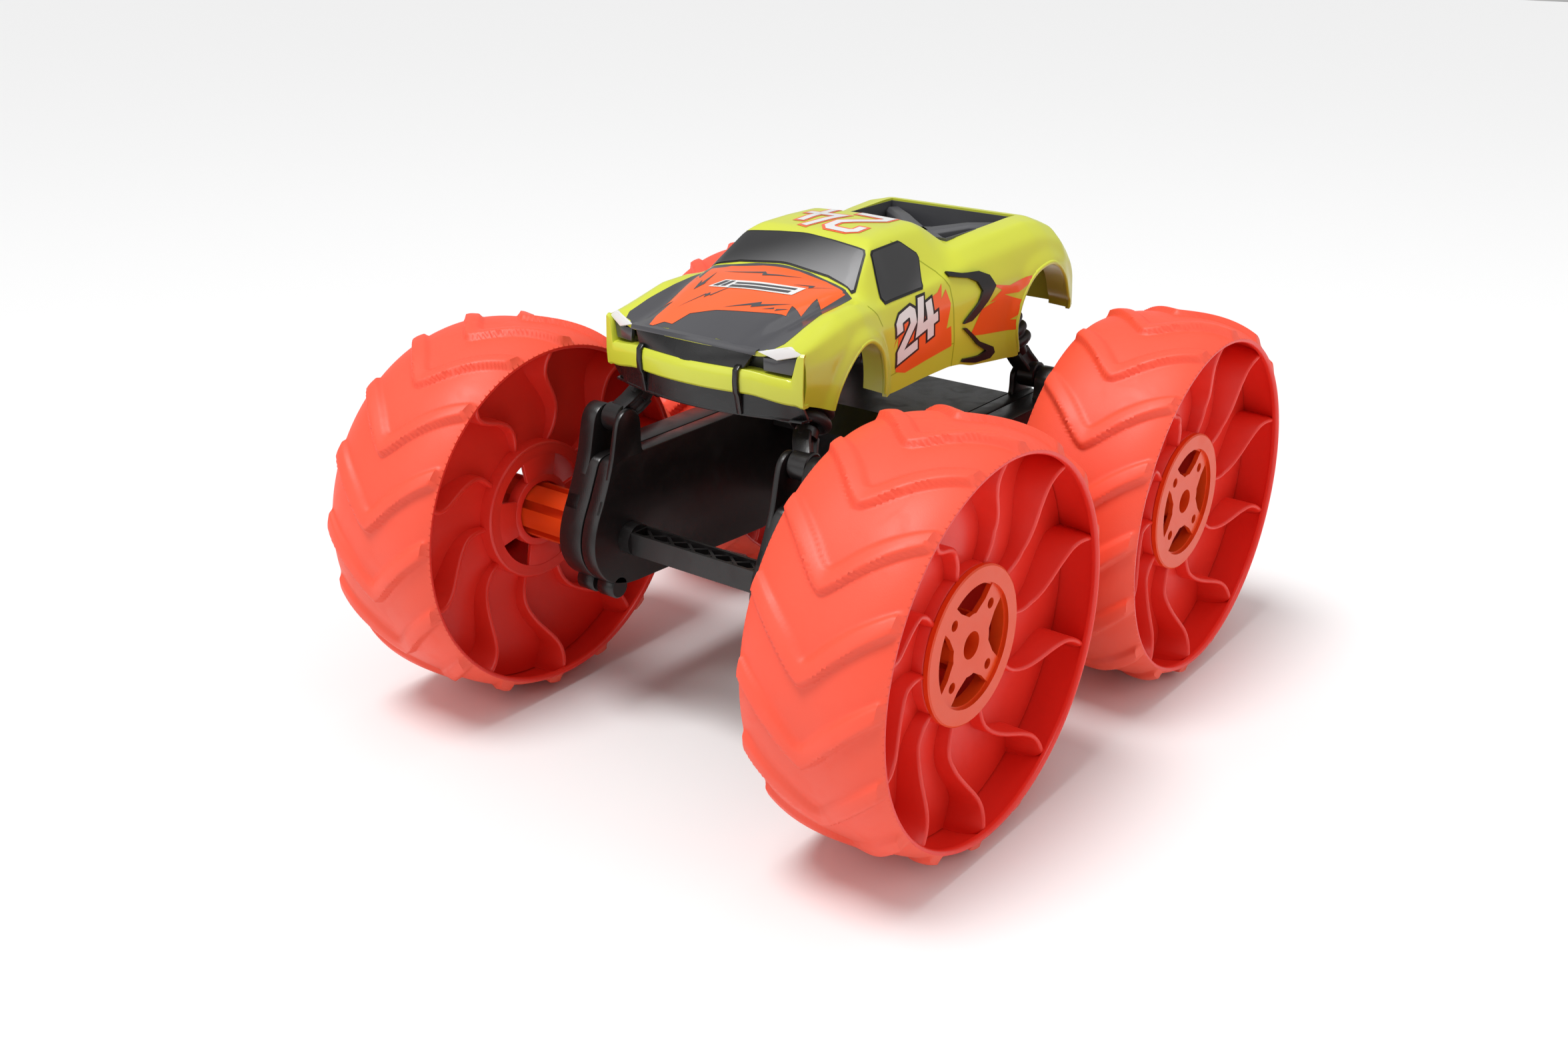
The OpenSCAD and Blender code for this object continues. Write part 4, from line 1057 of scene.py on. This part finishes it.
def ring_of_copies(source, name, centre, count, material):
    """Copies of one piece turned evenly about a wheel's axle, made with a node tree."""
    tree = bpy.data.node_groups.new("ring of copies", "GeometryNodeTree")
    face = tree.interface
    face.new_socket("Geometry", in_out="INPUT", socket_type="NodeSocketGeometry")
    face.new_socket("Piece", in_out="INPUT", socket_type="NodeSocketObject")
    face.new_socket("Count", in_out="INPUT", socket_type="NodeSocketInt")
    face.new_socket("Centre", in_out="INPUT", socket_type="NodeSocketVector")
    face.new_socket("Geometry", in_out="OUTPUT", socket_type="NodeSocketGeometry")
    start = add_node(tree, "NodeGroupInput", {}).outputs
    points = add_node(tree, "GeometryNodePoints", {"Count": start["Count"], "Position": start["Centre"]})
    info = add_node(tree, "GeometryNodeObjectInfo", {"Object": start["Piece"]})
    back = add_node(tree, "ShaderNodeVectorMath", {}, operation="SCALE")
    back.inputs["Scale"].default_value = -1
    tree.links.new(start["Centre"], back.inputs[0])
    moved = add_node(tree, "GeometryNodeTransform", {
        "Geometry": info.outputs["Geometry"], "Translation": back.outputs["Vector"]})
    index = add_node(tree, "GeometryNodeInputIndex", {})
    turn = add_node(tree, "ShaderNodeMath", {0: -2 * math.pi, 1: start["Count"]}, operation="DIVIDE")
    angle = add_node(tree, "ShaderNodeMath", {0: turn.outputs[0], 1: index.outputs[0]}, operation="MULTIPLY")
    euler = add_node(tree, "ShaderNodeCombineXYZ", {"Y": angle.outputs[0]})
    copies = add_node(tree, "GeometryNodeInstanceOnPoints", {
        "Points": points.outputs[0], "Instance": moved.outputs[0], "Rotation": euler.outputs[0]})
    real = add_node(tree, "GeometryNodeRealizeInstances", {0: copies.outputs[0]})
    coloured = add_node(tree, "GeometryNodeSetMaterial", {"Geometry": real.outputs[0], "Material": material})
    add_node(tree, "NodeGroupOutput", {0: coloured.outputs[0]})
    holder = bpy.data.objects.new(name, bpy.data.meshes.new(name))
    bpy.context.collection.objects.link(holder)
    mod = holder.modifiers.new("ring", "NODES")
    mod.node_group = tree
    keys = {item.name: item.identifier for item in face.items_tree if item.in_out == "INPUT"}
    mod[keys["Piece"]] = source
    mod[keys["Count"]] = count
    mod[keys["Centre"]] = centre
    apply_modifiers(holder)
    holder.data.materials.clear()
    holder.data.materials.append(material)
    discard(source)
    return holder


def hub_barrel(place):
    """Two webs, the hub barrel and the windowed face on the inner side."""
    parts = []
    for y in (-WEB_Y, WEB_Y):
        web = [(HUB_R - 1, y - 0.9), (69, y - 0.9), (69, y + 0.9), (HUB_R - 1, y + 0.9)]
        parts.append(lathe_y("web", web, CORAL_DRUM_PAINTED_SHADE, place, 96))
    barrel = [(25.5, -14.2), (25.5, 14.2), (26, 14.7), (27, 14.7), (27.5, 14.2), (27.5, -15.2), (26.8, -15.9),
              (25.9, -15.9), (25.5, -15.4)]
    parts.append(lathe_y("barrel", barrel, CORAL_DRUM_PAINTED_SHADE, place, 96))
    # inner face: a ring round the axle, a ring at the rim and four broad arms
    boss = [(11.5, -16), (11.5, -11), (14.4, -11), (14.4, -15.6), (14, -16)]
    ring = [(22.6, -16), (22.6, -14), (26.4, -14), (26.4, -16)]
    parts.append(lathe_y("boss", boss, CORAL_DRUM_PAINTED_SHADE, place, 64))
    parts.append(lathe_y("rim ring", ring, CORAL_DRUM_PAINTED_SHADE, place, 96))
    for k in range(4):
        a = math.radians(90 * k)
        outline = [(12.8, -7), (23.6, -9.2), (23.6, 9.2), (12.8, 7)]
        turned = [(u * math.cos(a) - v * math.sin(a), u * math.sin(a) + v * math.cos(a)) for u, v in outline]
        parts.append(prism("arm", turned, "y", -15.9, -14.1, CORAL_DRUM_PAINTED_SHADE, place, bevel=0.3))
    return parts


def wheel_drum(end, side):
    place = at_wheel(end, side)
    blades = ring_of_copies(blade_mesh(place), "blades", place((0, 0, 0)), BLADES, CORAL_DRUM_PAINTED_SHADE)
    parts = [tread(place, "tread"), drum_inside(place), blades] + hub_barrel(place)
    return shade_smooth(outward(joined("drum_%s_%s" % (end, side), parts)), 50)


# ---- shock boots ----

# Each pair of shocks: the pinned lower eye from the axle, roll and pitch in degrees, and along
# the shock from its eye the start of the boot, the number of its folds and the end of the rod
SHOCKS = {
    "front": ((-3.6, 40.2, 44.8), 11.5, -42.3, 14, 7, 40),
    "rear": ((3.0, 40.2, 40.4), 16.0, 18.8, 13, 5, 32)}
FOLD = 4.6


def shock_frame(end, side, leaning=True):
    """Turns a point in mm from a shock's eye, along the shock or level, into the row frame."""
    eye, roll, pitch = SHOCKS[end][:3]
    turn = Matrix.Identity(3)
    if leaning:
        turn = Matrix.Rotation(math.radians(pitch), 3, "Y") @ Matrix.Rotation(math.radians(roll), 3, "X")

    def place(p):
        q = Vector(eye) + turn @ Vector(p)
        return Vector(((ENDS[end] * AXLE_X + q.x) * MM, SIDES[side] * q.y * MM, (AXLE_Z + q.z) * MM))
    return place


def shock_boot(end, side):
    """A ribbed rubber boot: round folds that narrow towards the top."""
    start, ribs = SHOCKS[end][3:5]
    profile = [(6.3, start)]
    for k in range(ribs):
        z = start + FOLD * k
        r = 7.9 - 0.16 * k
        for t in range(9):
            a = math.pi * t / 8
            profile.append((r - 1.9 + 1.9 * math.sin(a), z + 0.3 + 3.7 * (1 - math.cos(a)) / 2))
        profile.append((r - 1.9, z + 4.3))
    top = start + ribs * FOLD + 2.6
    profile += [(6.0, top - 0.6), (5.4, top), (3.2, top)]
    profile += [(3.2, top - 3), (5.3, top - 4), (5.3, start + 8), (5.9, start + 0.6)]
    verts, steps = [], 48
    place = shock_frame(end, side)
    for i in range(steps):
        t = 2 * math.pi * i / steps
        verts += [place((r * math.cos(t), r * math.sin(t), z)) for r, z in profile]
    faces = grid_faces(steps, len(profile), close_rows=True, close_cols=True)
    obj = outward(mesh_piece("boot_%s_%s" % (end, side), verts, faces, RUBBER))
    mark_sharp(obj.data, 60)
    return obj


# ---- rails and shock rods ----

RAIL_IN, RAIL_SEAM, RAIL_OUT = 35.8, 43.0, 54.2


def on_rail(side):
    def place(p):
        return Vector((p[0] * MM, side * p[1] * MM, (p[2] + AXLE_Z) * MM))
    return place


def rail_outline(ears):
    """Side outline of a rail: a round pod at each axle, a deep beam and, if asked, the shock ears."""
    front = [(-14, 32), (-9.6, 32)]
    if ears:
        front += [(-8.6, 35), (-8.4, 43), (-7, 47), (-3.4, 49.4), (0.6, 48.8), (3.6, 45.6), (5.4, 39),
                  (7, 32)]
    else:
        front += [(-2, 32), (4, 31.6), (7, 30)]
    front += [(9.4, 25), (12.6, 17.6), (16, 10.6), (18.1, 4), (18.4, -2), (17, -7.4), (13.8, -12.4),
              (9, -16.2), (3, -18.3), (-4, -19.2)]
    rear = [(x, z - (5 if z > 44 else 3 if z > 38 else 0)) for x, z in front]
    front = flowing(front, 4)
    rear = flowing(rear, 4)
    return ([(AXLE_X + x, z) for x, z in front] + [(30, -21.2), (0, -22.6), (-30, -21.2)]
            + [(-AXLE_X - x, z) for x, z in rear[::-1]])


def rail(word):
    """One gear case: two half shells with a seam, ears for the shocks and feet for the screws."""
    place = on_rail(SIDES[word])
    parts = []
    low, high = rail_outline(False), rail_outline(True)
    parts.append(prism("inner half", low, "y", RAIL_IN, RAIL_SEAM - 0.18, BLACK, place, bevel=0.7))
    parts.append(prism("outer half", low, "y", RAIL_SEAM + 0.18, RAIL_OUT, BLACK, place, bevel=0.7))
    for y0, y1 in ((RAIL_IN, 38.4), (47.2, RAIL_OUT)):
        for sign, centre in ((1, AXLE_X), (-1, -AXLE_X)):
            ear = [p for p in high if (p[0] - centre) * sign > -12 and p[1] > 12]
            ear += [(centre + 9, 14), (centre - 9, 14)]
            ear.sort(key=lambda p, c=centre: math.atan2(p[1] - 26, p[0] - c))
            parts.append(prism("ear", ear, "y", y0 + 0.01, y1, BLACK, place, bevel=0.7))
    for sign in (1, -1):
        x = sign * (AXLE_X + 6)
        for y0, y1 in ((RAIL_IN, RAIL_SEAM + 1), (RAIL_SEAM + 3, RAIL_OUT)):
            foot = [(0, y0), (3.9, y0), (4.4, y0 + 0.6), (4.4, y1 - 0.6), (3.9, y1), (0, y1)]
            parts.append(lathe_y("foot", foot, BLACK,
                                 lambda p, x=x: place((x + p[0], p[1], p[2] - 18.6)), 32))
    return joined("rail_" + word, parts)


def shock_rod(end, side):
    """Eye barrel, flat bar with a shallow channel, and the round rod that enters the boot."""
    place = shock_frame(end, side)
    start, _, top = SHOCKS[end][3:]
    eye_y = 2.6
    barrel = [(2.05, eye_y - 4), (4.8, eye_y - 4), (5.3, eye_y - 3.5), (5.3, eye_y + 3.5),
              (4.8, eye_y + 4), (2.05, eye_y + 4)]
    parts = [lathe_y("eye", barrel, BLACK, shock_frame(end, side, leaning=False), 40)]
    outline = ((-4, -3.4), (-2.2, -3.4), (-1.6, -2.4), (1.6, -2.4), (2.2, -3.4), (4, -3.4), (4, 3.4),
               (2.2, 3.4), (1.6, 2.4), (-1.6, 2.4), (-2.2, 3.4), (-4, 3.4))
    # the bar starts at the eye's width and comes onto the shock's own line
    levels = [(1, 1.0), (0.75, 3.6), (0.3, 7.0), (0.0, start - 2.4)]
    verts = [place((x, y + eye_y * lean, s)) for lean, s in levels for x, y in outline]
    faces = grid_faces(len(levels), 12, close_cols=True)
    faces += [list(range(11, -1, -1)), [36 + k for k in range(12)]]
    parts.append(soften(outward(mesh_piece("bar", verts, faces, BLACK)), 0.4))
    for r, z0, z1 in ((4.2, start - 4, start - 0.2), (3.0, start - 2, top)):
        verts = []
        for k in range(32):
            t = 2 * math.pi * k / 32
            verts += [place((q * math.cos(t), q * math.sin(t), z)) for q, z in (
                (0, z0), (r, z0), (r, z1 - 0.4), (r - 0.4, z1), (0, z1))]
        parts.append(outward(mesh_piece("rod", verts, grid_faces(32, 5, close_rows=True), BLACK)))
    return joined("rod_%s_%s" % (end, side), parts)


# ---- build ----

def mark_only(material, *starts):
    for name, obj in NODES.items():
        if name.startswith(starts):
            for slot in obj.material_slots:
                slot.material = material


def build():
    mark_only(BLACK, "tub_base", "deck_cover", "front_cross", "rear_cross", "battery_door",
              "body_frame", "power_switch")
    mark_only(ORANGE, "hub_axle")
    mark_only(IVORY, "output_gear", "idler_gear")
    mark_only(BRASS, "pinion")
    mark_only(STEEL, "gear_pins", "shock_pins", "chassis_screws", "body_screws", "drive_motors")
    mark_only(BOARD, "circuit_board")
    mark_only(CELL, "battery_pack")
    body, skin = body_shell()
    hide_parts("body_shell")
    pieces = [body, arch_beads(), nose_bar()]
    dark = nose_dark()
    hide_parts("grille_insert")
    lamps = lamp_brows()
    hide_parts("headlights")
    chin = chin_guard()
    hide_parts("bumper_guard")
    prints = prints_and_glazing(skin)
    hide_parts("windshield")
    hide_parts("side_windows")
    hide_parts("side_vents")
    bed = bed_tray()
    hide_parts("bed_insert")
    pieces += [dark, lamps, chin, bed] + prints
    for end in ENDS:
        for side in SIDES:
            boot = shock_boot(end, side)
            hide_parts("shock_boot_%s_%s" % (end, side))
            pieces.append(boot)
            drum = wheel_drum(end, side)
            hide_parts("wheel_%s_%s" % (end, side))
            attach(drum, "%s_%s_wheel" % (end, side))
            rod = shock_rod(end, side)
            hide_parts("shock_rod_%s_%s" % (end, side))
            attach(rod, "shock_%s_%s" % (end, side))
    for word in SIDES:
        case = rail(word)
        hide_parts("rail_%s_inner" % word, "rail_%s_outer" % word)
        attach(case, "chassis")
    for piece in pieces:
        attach(piece, "car_body")


def studio():
    bpy.ops.mesh.primitive_plane_add(size=8, location=(0, 0, 0))
    floor = bpy.context.object
    floor.name = "studio_floor"
    floor.data.materials.append(FLOOR)
    floor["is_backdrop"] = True
    world = bpy.data.worlds.new("studio air")
    bpy.context.scene.world = world
    world.use_nodes = True
    world.node_tree.nodes["Background"].inputs["Color"].default_value = (1, 1, 1, 1)
    world.node_tree.nodes["Background"].inputs["Strength"].default_value = 0.42
    for name, where, size, power in (
            ("top softbox", (0.1, 0.1, 1.3), 1.1, 3), ("left softbox", (-0.2, 1.3, 0.8), 0.9, 3),
            ("front softbox", (1.3, -0.5, 0.7), 0.9, 3)):
        light = bpy.data.lights.new(name, "AREA")
        light.size = size
        light.energy = power
        lamp = bpy.data.objects.new(name, light)
        lamp.location = where
        lamp.rotation_euler = (Vector((0, 0, 0.09)) - Vector(where)).to_track_quat("-Z", "Y").to_euler()
        bpy.context.collection.objects.link(lamp)
    sky = bpy.data.lights.new("ceiling light", "SUN")
    sky.energy = 2.2
    sky.angle = math.radians(24)
    lamp = bpy.data.objects.new("ceiling light", sky)
    lamp.rotation_euler = Vector((0.3, -0.12, 0.94)).to_track_quat("Z", "Y").to_euler()
    bpy.context.collection.objects.link(lamp)
    bpy.context.scene.view_settings.view_transform = "Standard"
    camera = bpy.data.cameras.new("camera")
    camera.lens = 37.27
    camera.sensor_width = 36
    camera.clip_start = 0.01
    view = bpy.data.objects.new("camera", camera)
    azimuth, height = math.radians(127.27), math.radians(22.06)
    back = Vector((math.sin(azimuth) * math.cos(height), -math.cos(azimuth) * math.cos(height),
                   math.sin(height)))
    right = Vector((math.cos(azimuth), math.sin(azimuth), 0))
    up = back.cross(right)
    turn = Matrix((right, up, back)).transposed() @ Matrix.Rotation(math.radians(0.19), 3, "Z")
    view.matrix_world = Matrix.Translation((0.4923, 0.3499, 0.3069)) @ turn.to_4x4()
    bpy.context.collection.objects.link(view)
    bpy.context.scene.camera = view


build()
studio()
[[list(corner) for corner in box] for box in (CAD_BOX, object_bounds())]
